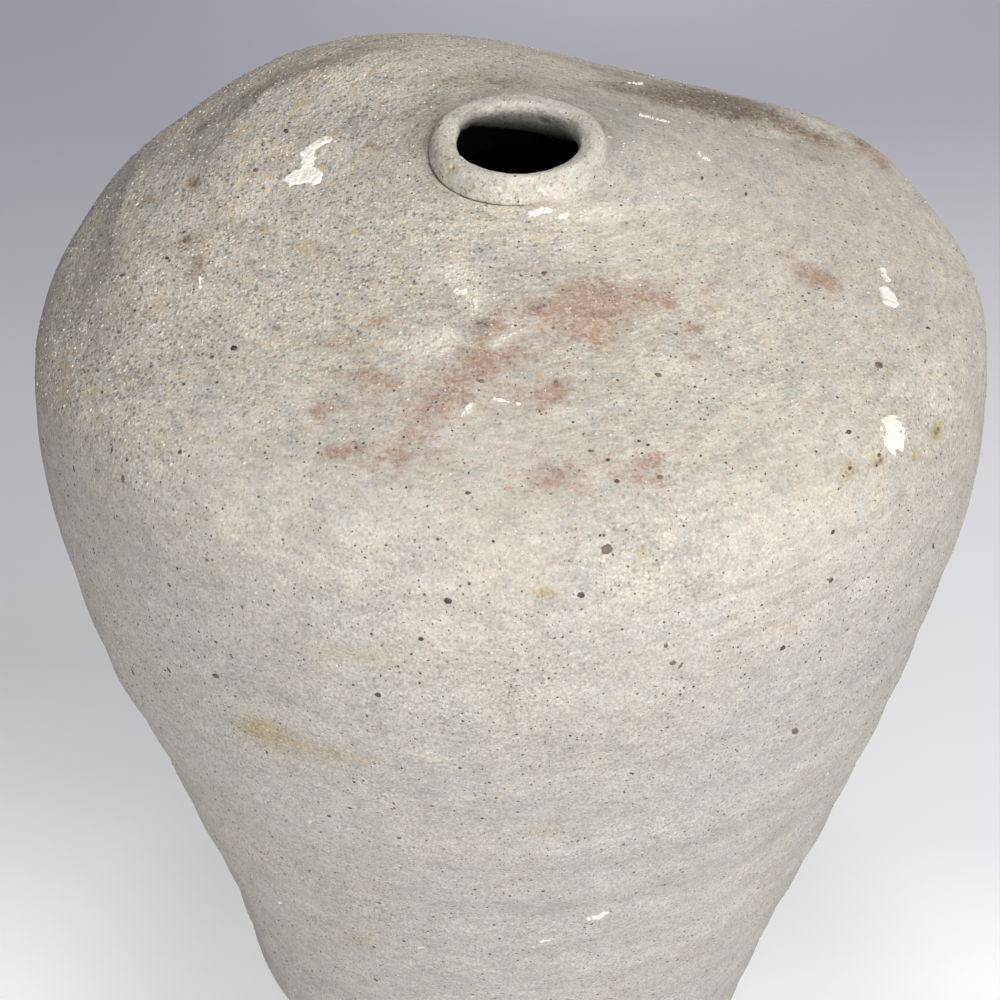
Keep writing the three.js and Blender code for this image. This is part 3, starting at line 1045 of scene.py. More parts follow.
# Soft marks on the jar, in pixels of the photograph:
# x, y, half width, half height, tilt in degrees, how strong
PINK = [
    (792, 258, 14, 6, 28, 0.5),
    (806, 268, 12, 6, 28, 0.4),
    (828, 284, 14, 7, 28, 0.5),
    (600, 300, 30, 20, -6, 0.95),
    (575, 292, 26, 12, -6, 0.7),
    (592, 318, 30, 12, -8, 0.6),
    (648, 297, 22, 10, 6, 0.75),
    (668, 300, 14, 11, 10, 0.7),
    (560, 312, 40, 12, -10, 0.55),
    (592, 338, 24, 16, 10, 0.5),
    (499, 322, 26, 15, -30, 0.6),
    (508, 348, 34, 18, -20, 0.5),
    (476, 366, 30, 18, -30, 0.6),
    (446, 396, 30, 17, -30, 0.8),
    (432, 406, 18, 10, -20, 0.65),
    (414, 432, 16, 18, 0, 0.6),
    (396, 458, 30, 11, -8, 0.7),
    (336, 340, 19, 13, -20, 0.5),
    (382, 319, 24, 9, -10, 0.6),
    (368, 377, 32, 12, 8, 0.65),
    (396, 349, 12, 9, 0, 0.45),
    (322, 410, 15, 8, -8, 1.0),
    (337, 452, 19, 8, -8, 1.0),
    (337, 452, 12, 6, -8, 0.8),
    (364, 447, 14, 6, -10, 0.5),
    (545, 394, 26, 13, -12, 0.8),
    (558, 390, 10, 9, 0, 0.8),
    (552, 477, 30, 14, -6, 0.6),
    (640, 474, 30, 18, -8, 0.6),
    (652, 459, 15, 9, 0, 0.5),
    (693, 328, 9, 7, 0, 0.9),
    (694, 357, 10, 6, 0, 0.4),
    (705, 294, 8, 14, 0, 0.4),
    (735, 455, 34, 9, -14, 0.25),
    (822, 279, 22, 11, 18, 0.85),
    (798, 268, 16, 7, 20, 0.4),
    (197, 263, 7, 11, 0, 1.0),
    (190, 275, 9, 6, 0, 0.7),
    (310, 428, 14, 6, 0, 0.3),
    (812, 137, 40, 8, 20, 0.5),
    (785, 132, 26, 7, 14, 0.3),
    (868, 150, 22, 8, 38, 0.7),
    (438, 153, 6, 7, 0, 0.4),
    (883, 163, 9, 6, 50, 0.9),
    (374, 146, 12, 6, 0, 0.5),
    (284, 150, 12, 6, 0, 0.45),
    (262, 229, 11, 6, 0, 0.55),
    (155, 197, 12, 5, -10, 0.6),
    (470, 380, 96, 62, -35, 0.26),
    (600, 308, 92, 38, 0, 0.26),
    (375, 400, 84, 62, 0, 0.12),
    (600, 470, 90, 30, -8, 0.22),
]
PLUM = [
    (535, 307, 12, 7, 0, 0.9),
    (600, 312, 12, 6, 0, 0.3),
    (815, 158, 6, 3, 0, 0.8),
    (556, 384, 5, 4, 0, 0.8),
]
OCHRE = [
    (888, 372, 3, 7, 0, 0.9),
    (697, 427, 15, 4, 0, 0.45),
    (810, 396, 6, 4, 0, 0.6),
    (262, 729, 26, 12, 14, 1.0),
    (300, 745, 40, 12, 12, 0.6),
    (350, 757, 40, 9, 6, 0.4),
    (355, 655, 56, 9, 6, 0.5),
    (545, 593, 14, 5, 8, 1.0),
    (476, 346, 14, 9, 0, 0.7),
    (607, 345, 14, 9, 0, 0.4),
    (642, 552, 8, 5, 0, 0.8),
    (784, 626, 14, 5, 0, 0.8),
    (536, 203, 13, 5, -22, 0.3),
    (457, 168, 5, 2.5, 0, 1.0),
    (503, 208, 26, 4, 2, 0.4),
    (265, 230, 9, 7, 0, 0.6),
    (196, 236, 16, 7, -40, 0.6),
    (165, 440, 22, 18, 0, 0.35),
    (322, 76, 20, 5, -8, 0.6),
    (285, 150, 16, 6, 0, 0.5),
    (448, 345, 30, 30, 0, 0.25),
    (540, 832, 16, 6, 0, 0.5),
    (360, 940, 30, 10, 0, 0.4),
    (878, 460, 9, 6, 10, 1.0),
    (936, 431, 8, 11, 20, 1.0),
    (915, 456, 6, 8, 0, 0.8),
    (849, 470, 10, 12, 0, 0.8),
    (283, 149, 16, 7, 0, 0.8),
    (176, 128, 26, 5, -28, 0.7),
    (215, 238, 20, 7, -32, 0.8),
    (150, 197, 14, 6, -20, 0.5),
    (194, 182, 9, 8, 0, 0.7),
]
# Brown marks: brown dirt, and painted shade in the furrow behind the mouth, behind the ring and along the
# crease at the left
BROWN = [
    (840, 288, 8, 5, 30, 0.4),
    (622, 88, 44, 6, 10, 0.55),
    (668, 98, 40, 8, 12, 0.75),
    (712, 105, 38, 10, 14, 1.0),
    (738, 109, 28, 11, 14, 0.8),
    (700, 101, 60, 7, 14, 0.5),
    (770, 118, 30, 8, 18, 0.6),
    (812, 134, 34, 7, 22, 0.5),
    (640, 76, 90, 7, 12, 0.4),
    (730, 100, 90, 6, 15, 0.35),
    (860, 143, 16, 5, 32, 0.5),
    (482, 325, 11, 7, 0, 0.9),
    (194, 184, 8, 4, -20, 0.7),
    (186, 240, 7, 5, 0, 0.8),
    (197, 262, 6, 8, 0, 0.4),
    (878, 461, 5, 3, 10, 0.8),
    (936, 434, 4, 5, 0, 0.7),
    (850, 474, 5, 5, 0, 0.5),
    (425, 112, 16, 24, 24, 0.35),
    (500, 80, 80, 9, 4, 0.35),
    (205, 124, 14, 4, -38, 0.7),
    (335, 57, 50, 7, -22, 0.4),
    (262, 92, 44, 8, -38, 0.35),
    (378, 150, 10, 5, -30, 0.5),
]
# Pale marks: pale clay and chalk, and painted light in the band in front of the mouth
PALE = [
    (455, 275, 24, 15, 30, 0.9),
    (474, 300, 9, 14, 0, 0.8),
    (440, 342, 30, 14, -10, 0.75),
    (398, 344, 16, 10, 0, 0.6),
    (503, 340, 26, 9, -30, 0.5),
    (470, 406, 9, 6, -30, 0.8),
    (520, 322, 18, 8, 0, 0.4),
    (650, 272, 40, 5, -8, 0.4),
    (400, 96, 34, 16, 0, 0.45),
    (335, 76, 24, 8, -10, 0.6),
    (216, 130, 24, 8, -38, 0.6),
    (176, 128, 24, 5, -28, 0.6),
    (283, 149, 15, 6, 0, 0.7),
    (215, 238, 18, 6, -32, 0.6),
    (248, 208, 20, 9, -20, 0.6),
    (158, 196, 14, 5, 0, 0.5),
    (600, 213, 60, 10, -6, 0.6),
    (690, 198, 40, 8, -6, 0.35),
    (150, 280, 16, 40, -20, 0.35),
    (205, 305, 14, 12, -30, 0.5),
    (232, 298, 10, 12, 0, 0.4),
    (545, 395, 20, 4, 8, 0.3),
    (690, 300, 40, 12, 0, 0.2),
    (432, 757, 22, 4, 12, 0.6),
    (463, 799, 14, 2.5, 3, 0.7),
    (520, 795, 6, 3, 0, 0.7),
    (330, 664, 30, 5, 14, 0.25),
]
SOFT_MARKS = {"pink": PINK, "plum": PLUM, "ochre": OCHRE, "brown": BROWN, "pale": PALE}

# Painted light (above 0) and painted shade (below 0), mixed with the clay's own uneven tone and the dirt
# behind the ring, as the marks above
LIGHT_SHADE_AND_TONE_MARKS = [
    (430, 222, 190, 34, 0, 0.16),
    (600, 235, 90, 26, 0, 0.10),
    (560, 100, 200, 24, 4, -0.13),
    (615, 118, 60, 24, 8, -0.09),
    (732, 113, 60, 18, 14, -0.08),
    (420, 128, 40, 34, 20, -0.10),
    (440, 103, 14, 14, -40, -0.16),
    (490, 88, 60, 8, 4, -0.10),
    (424, 156, 16, 20, 20, 0.13),
    (905, 420, 60, 110, 0, -0.08),
    (290, 72, 26, 9, -25, -0.10),
    (238, 103, 24, 11, -40, -0.11),
    (218, 134, 20, 16, -45, -0.11),
    (213, 162, 20, 18, 0, -0.13),
    (205, 192, 14, 14, 0, -0.08),
    (130, 292, 22, 22, 0, -0.06),
    (122, 340, 20, 30, 0, -0.06),
    (381, 300, 50, 40, 0, 0.07),
    (262, 305, 50, 60, 0, 0.055),
    (264, 208, 36, 30, 0, 0.03),
    (264, 405, 50, 50, 0, 0.045),
    (732, 300, 50, 40, 0, 0.045),
    (498, 395, 60, 30, 0, -0.03),
    (615, 390, 50, 34, 0, -0.05),
    (966, 370, 30, 90, 0, -0.03),
    (147, 480, 50, 40, 0, -0.04),
    (498, 482, 50, 36, 0, -0.045),
    (740, 485, 70, 34, 0, -0.02),
    (498, 565, 60, 40, 0, -0.04),
    (381, 565, 46, 44, 0, 0.045),
    (264, 660, 44, 40, 0, -0.04),
    (381, 662, 50, 46, 0, 0.07),
    (732, 665, 50, 44, 0, -0.05),
    (615, 750, 60, 40, 0, -0.035),
    (849, 750, 30, 60, 0, 0.045),
    (498, 840, 60, 40, 0, -0.03),
    (732, 935, 30, 50, 0, 0.06),
    (381, 930, 40, 40, 0, -0.02),
]

# How much darker the painted shade and dirt in the ring's joint is
RING_BACK_SHADE_AND_DIRT = 0.26

# Crusts of lime that stand on the clay: how thick, how far their closed underside is sunk in, and how far
# their edge dips; the step between points in pixels, and how many pixels of the photograph are a millimetre
CRUST_THICK = 0.34
CRUST_SUNK = 0.35
CRUST_EDGE = 0.10
CRUST_STEP = 0.9
PIXELS_PER_MM = 4.9

# Each crust's strokes: through these pixels of the photograph, half width in millimetres
CRUSTS = [
    [
        ([(301, 177), (313, 175)], 2.9),
        ([(288, 179), (297, 180)], 1.5),
        ([(307, 166), (308, 150)], 1.5),
        ([(312, 147), (326, 140)], 1.3),
    ],
    [([(893, 429), (894, 441)], 2.7)],
    [([(539, 190), (545, 193)], 0.6)],
    [([(884, 418), (897, 417)], 0.35)],
    [([(590, 919), (603, 915)], 0.9)],
    [([(640, 115), (654, 119), (668, 122)], 0.45)],
    [([(698, 153), (703, 158), (710, 160)], 0.35)],
    [([(883, 271), (887, 280)], 0.9), ([(885, 291), (890, 302)], 1.5)],
    [([(494, 399), (508, 402), (520, 404)], 0.3)],
    [([(462, 415), (466, 410), (471, 404)], 0.35)],
    [([(533, 213), (546, 210)], 1.1)],
    [([(561, 217), (566, 214)], 0.7)],
    [([(474, 300), (476, 307)], 0.4)],
    [([(457, 293), (463, 291)], 0.7)],
    [([(628, 83), (642, 84)], 0.45)],
    [([(199, 278), (200, 287)], 0.35)],
    [([(415, 948), (424, 947)], 0.3)],
    [([(541, 941), (552, 940)], 0.3)],
    [([(279, 902), (282, 903)], 0.4)],
    [([(309, 822), (312, 822)], 0.4)],
]

# Iron spots and slits: pixel of the photograph, half length in millimetres, narrowness, tilt in degrees
SPOT_RINGS = 6
SPOT_SIDES = 18
SPOT_RISE = 0.2
SPOT_SINK = 0.4
IRON_SPOTS = [
    (607, 549, 1.2, 0.9, 0),
    (448, 601, 0.85, 0.8, 20),
    (421, 639, 0.6, 0.9, 0),
    (216, 676, 1.2, 0.55, -35),
    (795, 731, 1.6, 0.5, 50),
    (673, 663, 0.8, 0.8, 0),
    (681, 665, 0.9, 0.35, -60),
    (666, 646, 0.5, 0.9, 0),
    (783, 648, 0.75, 0.9, 0),
    (378, 695, 0.7, 0.9, 0),
    (879, 365, 1.1, 0.8, 0),
    (581, 595, 0.8, 0.8, 0),
    (849, 432, 0.7, 0.8, 0),
    (833, 532, 0.6, 0.8, 0),
    (831, 580, 0.7, 0.8, 0),
    (933, 546, 1.1, 0.35, 70),
    (938, 429, 0.6, 0.8, 0),
    (879, 455, 0.6, 0.8, 0),
    (850, 468, 0.6, 0.7, 0),
    (928, 328, 0.7, 0.7, 40),
    (286, 131, 1.2, 0.5, 5),
    (256, 170, 0.8, 0.9, 0),
    (238, 197, 0.4, 0.9, 0),
    (184, 232, 0.6, 0.7, 30),
    (185, 241, 0.8, 0.7, 0),
    (167, 258, 0.7, 0.6, 0),
    (123, 275, 0.8, 0.6, -40),
    (119, 332, 0.6, 0.8, 0),
    (234, 348, 1.0, 0.8, 0),
    (212, 357, 0.6, 0.9, 0),
    (220, 316, 0.35, 0.9, 0),
    (184, 384, 0.5, 0.9, 0),
    (74, 469, 0.8, 0.6, 60),
    (112, 450, 0.7, 0.6, 60),
    (123, 479, 0.9, 0.7, 60),
    (127, 460, 0.5, 0.8, 0),
    (180, 452, 0.6, 0.8, 0),
    (169, 585, 0.6, 0.8, 0),
    (207, 560, 0.5, 0.8, 0),
    (216, 642, 0.5, 0.8, 0),
    (169, 670, 1.0, 0.3, 60),
    (133, 672, 1.0, 0.3, 65),
    (544, 273, 0.6, 0.9, 0),
    (481, 381, 0.7, 0.8, 0),
    (658, 375, 0.8, 0.7, 30),
    (556, 382, 0.5, 0.9, 0),
    (676, 334, 0.45, 0.8, 0),
    (617, 481, 0.6, 0.8, 0),
    (660, 477, 0.7, 0.7, 0),
    (591, 451, 0.7, 0.5, 0),
    (608, 460, 0.45, 0.9, 0),
    (648, 445, 0.4, 0.9, 0),
    (639, 441, 0.4, 0.9, 0),
    (468, 493, 0.6, 0.7, 0),
    (797, 164, 0.6, 0.5, 50),
    (843, 166, 0.5, 0.5, 0),
    (702, 178, 0.9, 0.4, 0),
    (746, 194, 0.9, 0.4, 0),
    (877, 209, 0.7, 0.5, 50),
    (460, 768, 0.5, 0.8, 0),
    (354, 782, 0.45, 0.8, 0),
    (350, 808, 0.6, 0.8, 0),
    (329, 816, 0.5, 0.8, 0),
    (432, 806, 0.4, 0.8, 0),
    (399, 838, 0.5, 0.8, 0),
    (379, 903, 0.5, 0.8, 0),
    (287, 961, 0.5, 0.8, 0),
    (376, 980, 0.7, 0.7, 0),
    (404, 941, 0.5, 0.6, 0),
    (374, 947, 0.5, 0.8, 0),
    (496, 798, 0.4, 0.8, 0),
    (518, 812, 0.4, 0.8, 0),
    (510, 896, 0.4, 0.8, 0),
    (433, 917, 0.4, 0.8, 0),
    (494, 925, 0.4, 0.8, 0),
    (468, 102, 0.25, 0.8, 0),
    (504, 100, 0.3, 0.7, 0),
    (518, 99, 0.2, 0.8, 0),
    (530, 102, 0.25, 0.8, 0),
    (540, 102, 0.25, 0.7, 0),
    (561, 104, 0.2, 0.8, 0),
    (566, 113, 0.25, 0.8, 0),
    (568, 119, 0.3, 0.7, 0),
    (578, 119, 0.2, 0.8, 0),
    (589, 118, 0.25, 0.8, 0),
    (592, 125, 0.2, 0.8, 0),
    (462, 160, 0.3, 0.8, 0),
    (515, 176, 0.35, 0.9, 0),
    (518, 202, 0.25, 0.8, 0),
    (546, 170, 0.2, 0.8, 0),
    (556, 168, 0.25, 0.7, 0),
    (564, 163, 0.2, 0.8, 0),
    (571, 161, 0.2, 0.8, 0),
    (571, 167, 0.25, 0.7, 0),
    (585, 156, 0.3, 0.8, 0),
    (588, 163, 0.25, 0.7, 0),
    (577, 178, 0.25, 0.8, 0),
    (564, 176, 0.2, 0.8, 0),
    (589, 143, 0.2, 0.8, 0),
    (599, 138, 0.25, 0.8, 0),
]

VIEW_RIGHT = np.array([1, 0, 0])
VIEW_UP = np.array([0, math.sin(CAMERA_ELEVATION), math.cos(CAMERA_ELEVATION)])
VIEW_FORWARD = np.array([0, math.cos(CAMERA_ELEVATION), -math.sin(CAMERA_ELEVATION)])


def on_photo(places):
    """The pixel of the photograph that shows each place, and the direction to the camera there."""
    ray = places - np.array(camera_place())
    depth = ray @ VIEW_FORWARD
    x = PHOTO_SIZE / 2 + LENS_PIXELS * (ray @ VIEW_RIGHT) / depth
    y = PHOTO_SIZE / 2 - LENS_PIXELS * (ray @ VIEW_UP) / depth
    return x, y, -ray / np.linalg.norm(ray, axis=-1, keepdims=True)


def surface_under(pixel, tree):
    """The point of the jar that a pixel of the photograph shows, and the normal there, in millimetres."""
    x, y = pixel
    middle = PHOTO_SIZE / 2
    ray = VIEW_FORWARD * LENS_PIXELS + VIEW_RIGHT * (x - middle) - VIEW_UP * (y - middle)
    hit, normal, _, _ = tree.ray_cast(camera_place() * MM, Vector(ray).normalized())
    return (None, None) if hit is None else (np.array(hit) / MM, np.array(normal))


def reach_of(strokes, places, tree):
    """How far inside the nearest stroke each place is: 1 on its line, 0 at its edge, less outside."""
    best = np.full(len(places), -3.0)
    for pixels, half_width in strokes:
        line = [surface_under(p, tree)[0] for p in pixels]
        for a, b in zip(line, line[1:]):
            ab = b - a
            t = np.clip((places - a) @ ab / max(ab @ ab, 1e-9), 0, 1)
            away = np.linalg.norm(places - a - t[:, None] * ab, axis=1)
            best = np.maximum(best, 1 - away / half_width)
    return best


def soft_mark(x, y, at_x, at_y, wide, high, tilt, strong):
    """How strong one mark is at pixel x, y of the photograph."""
    turn = math.radians(tilt)
    along = (x - at_x) * math.cos(turn) + (y - at_y) * math.sin(turn)
    across = (y - at_y) * math.cos(turn) - (x - at_x) * math.sin(turn)
    return strong * np.exp(-((along / wide) ** 2) - (across / high) ** 2)


def soft_marks(places, normals):
    """For each kind of soft mark, how strong it is at each place that the photograph's camera sees."""
    x, y, to_camera = on_photo(places)
    seen = smooth((normals * to_camera).sum(axis=-1), 0.0, 0.12)
    strengths = {}
    for name, marks in SOFT_MARKS.items():
        clear = np.ones(len(places))
        for mark in marks:
            clear *= 1 - soft_mark(x, y, *mark)
        strengths[name] = (1 - clear) * seen
    # Painted light and shade, with the clay's own tone
    strengths["tone"] = seen * sum(soft_mark(x, y, *mark) for mark in LIGHT_SHADE_AND_TONE_MARKS)
    return strengths


def ring_back_shade_and_dirt(radius, angle):
    """Painted shade and dirt in the joint round the back of the ring."""
    near = line_mark(radius, RING_RADIUS + 0.6, 3.0)
    return -RING_BACK_SHADE_AND_DIRT * near * angle_window(angle, 105, 65, 75)


def paint(mesh, shown, dark, ring_shade_and_dirt=0.0, shade_and_dirt_share=1.0):
    """Puts the marks, painted light and shade among them, on the mesh as attributes: shown says which points
    are on the outside, dark how far each is painted black as shade.
    """
    count = len(mesh.vertices)
    values = np.zeros(count * 3, np.float32)
    mesh.vertices.foreach_get("co", values)
    places = values.reshape(-1, 3) / MM
    normals = np.zeros(count * 3, np.float32)
    mesh.vertices.foreach_get("normal", normals)
    layers = soft_marks(places, normals.reshape(-1, 3))
    # The ring takes only a share of the painted light and shade and of the brown marks
    layers["tone"] = layers["tone"] * shade_and_dirt_share + ring_shade_and_dirt
    layers["brown"] *= shade_and_dirt_share
    coarse = coarse_share(places) + 0.5 * layers["pale"] - 0.3 * layers["pink"]
    layers["coarse"] = np.clip(coarse, 0.05, 1.3)
    layers["painted_black_shade"] = dark
    for name, layer in layers.items():
        if name != "painted_black_shade":
            layer = layer * shown
        attribute = mesh.attributes.new(name, "FLOAT", "POINT")
        attribute.data.foreach_set("value", layer.astype(np.float32))


def evened(values, times):
    """A grid of values, each mixed with its neighbours a few times over."""
    for _ in range(times):
        padded = np.pad(values, ((1, 1), (1, 1), (0, 0)), mode="edge")
        beside = padded[:-2, 1:-1] + padded[2:, 1:-1] + padded[1:-1, :-2] + padded[1:-1, 2:]
        values = (values + beside / 4) / 2
    return values


def crust_mesh(tree):
    """Thin crusts that stand on the clay, ragged at their edges, each closed underneath."""
    points, faces = [], []
    for strokes in CRUSTS:
        ends = np.array([p for line, _ in strokes for p in line], float)
        widest = max(half for _, half in strokes)
        reach_px = widest * PIXELS_PER_MM * 1.5 + 2
        low, high = ends.min(axis=0) - reach_px, ends.max(axis=0) + reach_px
        columns = np.arange(low[0], high[0], CRUST_STEP)
        rows = np.arange(low[1], high[1], CRUST_STEP)
        hits = [[surface_under((x, y), tree) for x in columns] for y in rows]
        places = np.array([[hit for hit, _ in row] for row in hits])
        normals = evened(np.array([[normal for _, normal in row] for row in hits]), 12)
        reach = reach_of(strokes, places.reshape(-1, 3), tree).reshape(places.shape[:2])
        # A thin stroke is a trail of crumbs, a wide one a patch with a ragged edge
        thin = 1 - smooth(widest, 0.5, 1.5)
        reach = reach + 0.35 * lumps(places, 1.9, 51) + 0.3 * lumps(places, 0.8, 52)
        reach = reach + thin * (1.1 * lumps(places, 0.6, 54) - 0.25)
        worn = 1 + 0.4 * lumps(places, 1.1, 53) + 0.35 * lumps(places, 0.5, 55)
        rise = (CRUST_THICK + CRUST_EDGE) * smooth(reach, -0.05, 0.35) * worn - CRUST_EDGE
        top = places + normals * rise[..., None]
        under = places - normals * CRUST_SUNK
        corners = np.maximum.reduce([reach[:-1, :-1], reach[1:, :-1], reach[:-1, 1:], reach[1:, 1:]])
        add_slab(points, faces, top, under, corners > -0.05)
    mesh = bpy.data.meshes.new("lime_crusts")
    mesh.from_pydata([tuple(p * MM) for p in points], [], faces)
    mesh.validate()
    return mesh


def add_slab(points, faces, top, under, kept):
    """Closes the kept cells of two sheets into slabs: faces on top, faces underneath, and their rims."""
    rows, cols = top.shape[:2]
    first = len(points)
    points.extend(top.reshape(-1, 3))
    points.extend(under.reshape(-1, 3))
    below = rows * cols
    for r, c in np.argwhere(kept):
        corner = [(r, c), (r + 1, c), (r + 1, c + 1), (r, c + 1)]
        ids = [int(first + a * cols + b) for a, b in corner]
        faces.append(ids)
        faces.append([i + below for i in reversed(ids)])
        beside = ((r, c - 1), (r + 1, c), (r, c + 1), (r - 1, c))
        for side, (a, b) in enumerate(beside):
            inside = 0 <= a < rows - 1 and 0 <= b < cols - 1 and kept[a, b]
            if not inside:
                p, q = ids[side], ids[(side + 1) % 4]
                faces.append([q, p, p + below, q + below])


def random_node(tree, least, most, seed):
    """A random number for each point, from least to most."""
    node = tree.nodes.new("FunctionNodeRandomValue")
    node.data_type = "FLOAT"
    for socket, value in ((node.inputs[2], least), (node.inputs[3], most), (node.inputs["Seed"], seed)):
        if isinstance(value, (int, float)):
            socket.default_value = value
        else:
            tree.links.new(value, socket)
    return node.outputs[1]


def scatter_tree():
    """Grains of one kind strewn over a surface: flattened pebbles, turned to the surface."""
    tree = bpy.data.node_groups.new("strewn_grains", "GeometryNodeTree")
    face = tree.interface
    face.new_socket("Surface", in_out="INPUT", socket_type="NodeSocketGeometry")
    for label, value in (
        ("Grains per square metre", 3000.0),
        ("Smallest", 0.3 * MM),
        ("Largest", 0.8 * MM),
        ("Flatness", 0.5),
        ("Lumps per metre", 1500.0),
        ("Push", 0.3 * MM),
    ):
        face.new_socket(label, in_out="INPUT", socket_type="NodeSocketFloat").default_value = value
    face.new_socket("Weight", in_out="INPUT", socket_type="NodeSocketString").default_value = "grit"
    face.new_socket("Seed", in_out="INPUT", socket_type="NodeSocketInt").default_value = 1
    face.new_socket("Material", in_out="INPUT", socket_type="NodeSocketMaterial")
    face.new_socket("Grains", in_out="OUTPUT", socket_type="NodeSocketGeometry")
    nodes, link = tree.nodes, tree.links.new
    inputs, out = nodes.new("NodeGroupInput").outputs, nodes.new("NodeGroupOutput")

    weight = nodes.new("GeometryNodeInputNamedAttribute")
    weight.data_type = "FLOAT"
    link(inputs["Weight"], weight.inputs["Name"])
    crowd = math_node(tree, "MULTIPLY", inputs["Grains per square metre"], weight.outputs["Attribute"])
    points = nodes.new("GeometryNodeDistributePointsOnFaces")
    link(inputs["Surface"], points.inputs["Mesh"])
    link(crowd, points.inputs["Density"])
    link(inputs["Seed"], points.inputs["Seed"])

    # Each pebble is a flattened ball of its own size and length
    pebble = nodes.new("GeometryNodeMeshIcoSphere")
    pebble.inputs["Radius"].default_value = 1.0
    pebble.inputs["Subdivisions"].default_value = 1
    size = random_node(tree, inputs["Smallest"], inputs["Largest"], inputs["Seed"])
    scale = nodes.new("ShaderNodeCombineXYZ")
    link(size, scale.inputs[0])
    link(math_node(tree, "MULTIPLY", size, random_node(tree, 0.55, 1.0, 5)), scale.inputs[1])
    link(math_node(tree, "MULTIPLY", size, inputs["Flatness"]), scale.inputs[2])

    # It is turned any way round on the surface
    around = nodes.new("FunctionNodeAxisAngleToRotation")
    link(random_node(tree, 0.0, math.tau, 9), around.inputs["Angle"])
    turn = nodes.new("FunctionNodeRotateRotation")
    turn.rotation_space = "LOCAL"
    link(points.outputs["Rotation"], turn.inputs[0])
    link(around.outputs[0], turn.inputs[1])
    place = nodes.new("GeometryNodeInstanceOnPoints")
    link(points.outputs["Points"], place.inputs["Points"])
    link(pebble.outputs["Mesh"], place.inputs["Instance"])
    link(turn.outputs[0], place.inputs["Rotation"])
    link(scale.outputs[0], place.inputs["Scale"])
    real = nodes.new("GeometryNodeRealizeInstances")
    link(place.outputs["Instances"], real.inputs["Geometry"])

    # No two pebbles are alike: noise pushes their corners about
    noise = nodes.new("ShaderNodeTexNoise")
    link(inputs["Lumps per metre"], noise.inputs["Scale"])
    push = nodes.new("ShaderNodeVectorMath")
    push.operation = "SCALE"
    link(vector_node(tree, "SUBTRACT", noise.outputs["Color"], (0.5, 0.5, 0.5)), push.inputs[0])
    link(inputs["Push"], push.inputs["Scale"])
    worn = nodes.new("GeometryNodeSetPosition")
    link(real.outputs["Geometry"], worn.inputs["Geometry"])
    link(push.outputs["Vector"], worn.inputs["Offset"])
    finish = nodes.new("GeometryNodeSetMaterial")
    link(worn.outputs["Geometry"], finish.inputs["Geometry"])
    link(inputs["Material"], finish.inputs["Material"])
    link(finish.outputs["Geometry"], out.inputs["Grains"])
    return tree


def strew(name, host_mesh, tree, material, values):
    """Runs the tree on a host surface and keeps the result as a plain mesh."""
    host = add_object("host", host_mesh)
    modifier = host.modifiers.new("grains", "NODES")
    modifier.node_group = tree
    for item in tree.interface.items_tree:
        if item.in_out == "INPUT" and item.name in values:
            modifier[item.identifier] = values[item.name]
        if item.in_out == "INPUT" and item.name == "Material":
            modifier[item.identifier] = material
    bpy.context.view_layer.update()
    shown = host.evaluated_get(bpy.context.evaluated_depsgraph_get())
    mesh = bpy.data.meshes.new_from_object(shown)
    bpy.data.objects.remove(host)
    mesh.name = name
    if not mesh.materials:
        mesh.materials.append(material)
    piece = add_object(name, mesh)
    for polygon in mesh.polygons:
        polygon.use_smooth = True
    return piece


def iron_spot_mesh(tree):
    """The larger iron spots: low blisters of dark slag in the clay."""
    points, faces = [], []
    rng = np.random.default_rng(31)
    for x, y, radius, narrow, tilt in IRON_SPOTS:
        wobble = rng.uniform(0.8, 1.14, SPOT_SIDES)
        middle, normal = surface_under((x, y), tree)
        level = np.cross((0, 0, 1), normal)
        level /= np.linalg.norm(level)
        uphill = np.cross(normal, level)
        turn = math.radians(-tilt)
        along = level * math.cos(turn) + uphill * math.sin(turn)
        across = np.cross(normal, along)
        first = len(points)
        points.append(middle + normal * radius * SPOT_RISE)
        for ring in range(1, SPOT_RINGS + 1):
            share = ring / SPOT_RINGS
            rise = radius * (SPOT_RISE * (1 - share**2.4) - 0.10 * share**6)
            for side in range(SPOT_SIDES):
                angle = math.tau * side / SPOT_SIDES
                out = radius * share * (1 + (wobble[side] - 1) * share)
                spot = along * out * math.cos(angle) + across * out * math.sin(angle) * narrow
                points.append(middle + spot + normal * rise)
        bottom = len(points)
        points.append(middle - normal * radius * SPOT_SINK)
        for side in range(SPOT_SIDES):
            after = (side + 1) % SPOT_SIDES
            faces.append((first, first + 1 + side, first + 1 + after))
            for ring in range(SPOT_RINGS - 1):
                a = first + 1 + ring * SPOT_SIDES
                b = a + SPOT_SIDES
                faces.append((a + side, b + side, b + after, a + after))
            rim = first + 1 + (SPOT_RINGS - 1) * SPOT_SIDES
            faces.append((bottom, rim + after, rim + side))
    mesh = bpy.data.meshes.new("iron_spots")
    mesh.from_pydata([tuple(p * MM) for p in points], [], faces)
    for polygon in mesh.polygons:
        polygon.use_smooth = True
    return mesh


def area_light(name, azimuth, elevation, power):
    """A soft box aimed at the jar, its place in degrees. It isn't seen itself."""
    light = bpy.data.lights.new(name, "AREA")
    light.shape = "DISK"
    light.size = LAMP_SIZE
    light.energy = power
    lamp = bpy.data.objects.new(name, light)
    azimuth, elevation = math.radians(azimuth), math.radians(elevation)
    level = math.cos(elevation)
    away = Vector((math.cos(azimuth) * level, math.sin(azimuth) * level, math.sin(elevation)))
    lamp.location = LAMP_AIM + away * LAMP_DISTANCE
    lamp.rotation_euler = (-away).to_track_quat("-Z", "Y").to_euler()
    lamp.visible_camera = False
    bpy.context.collection.objects.link(lamp)


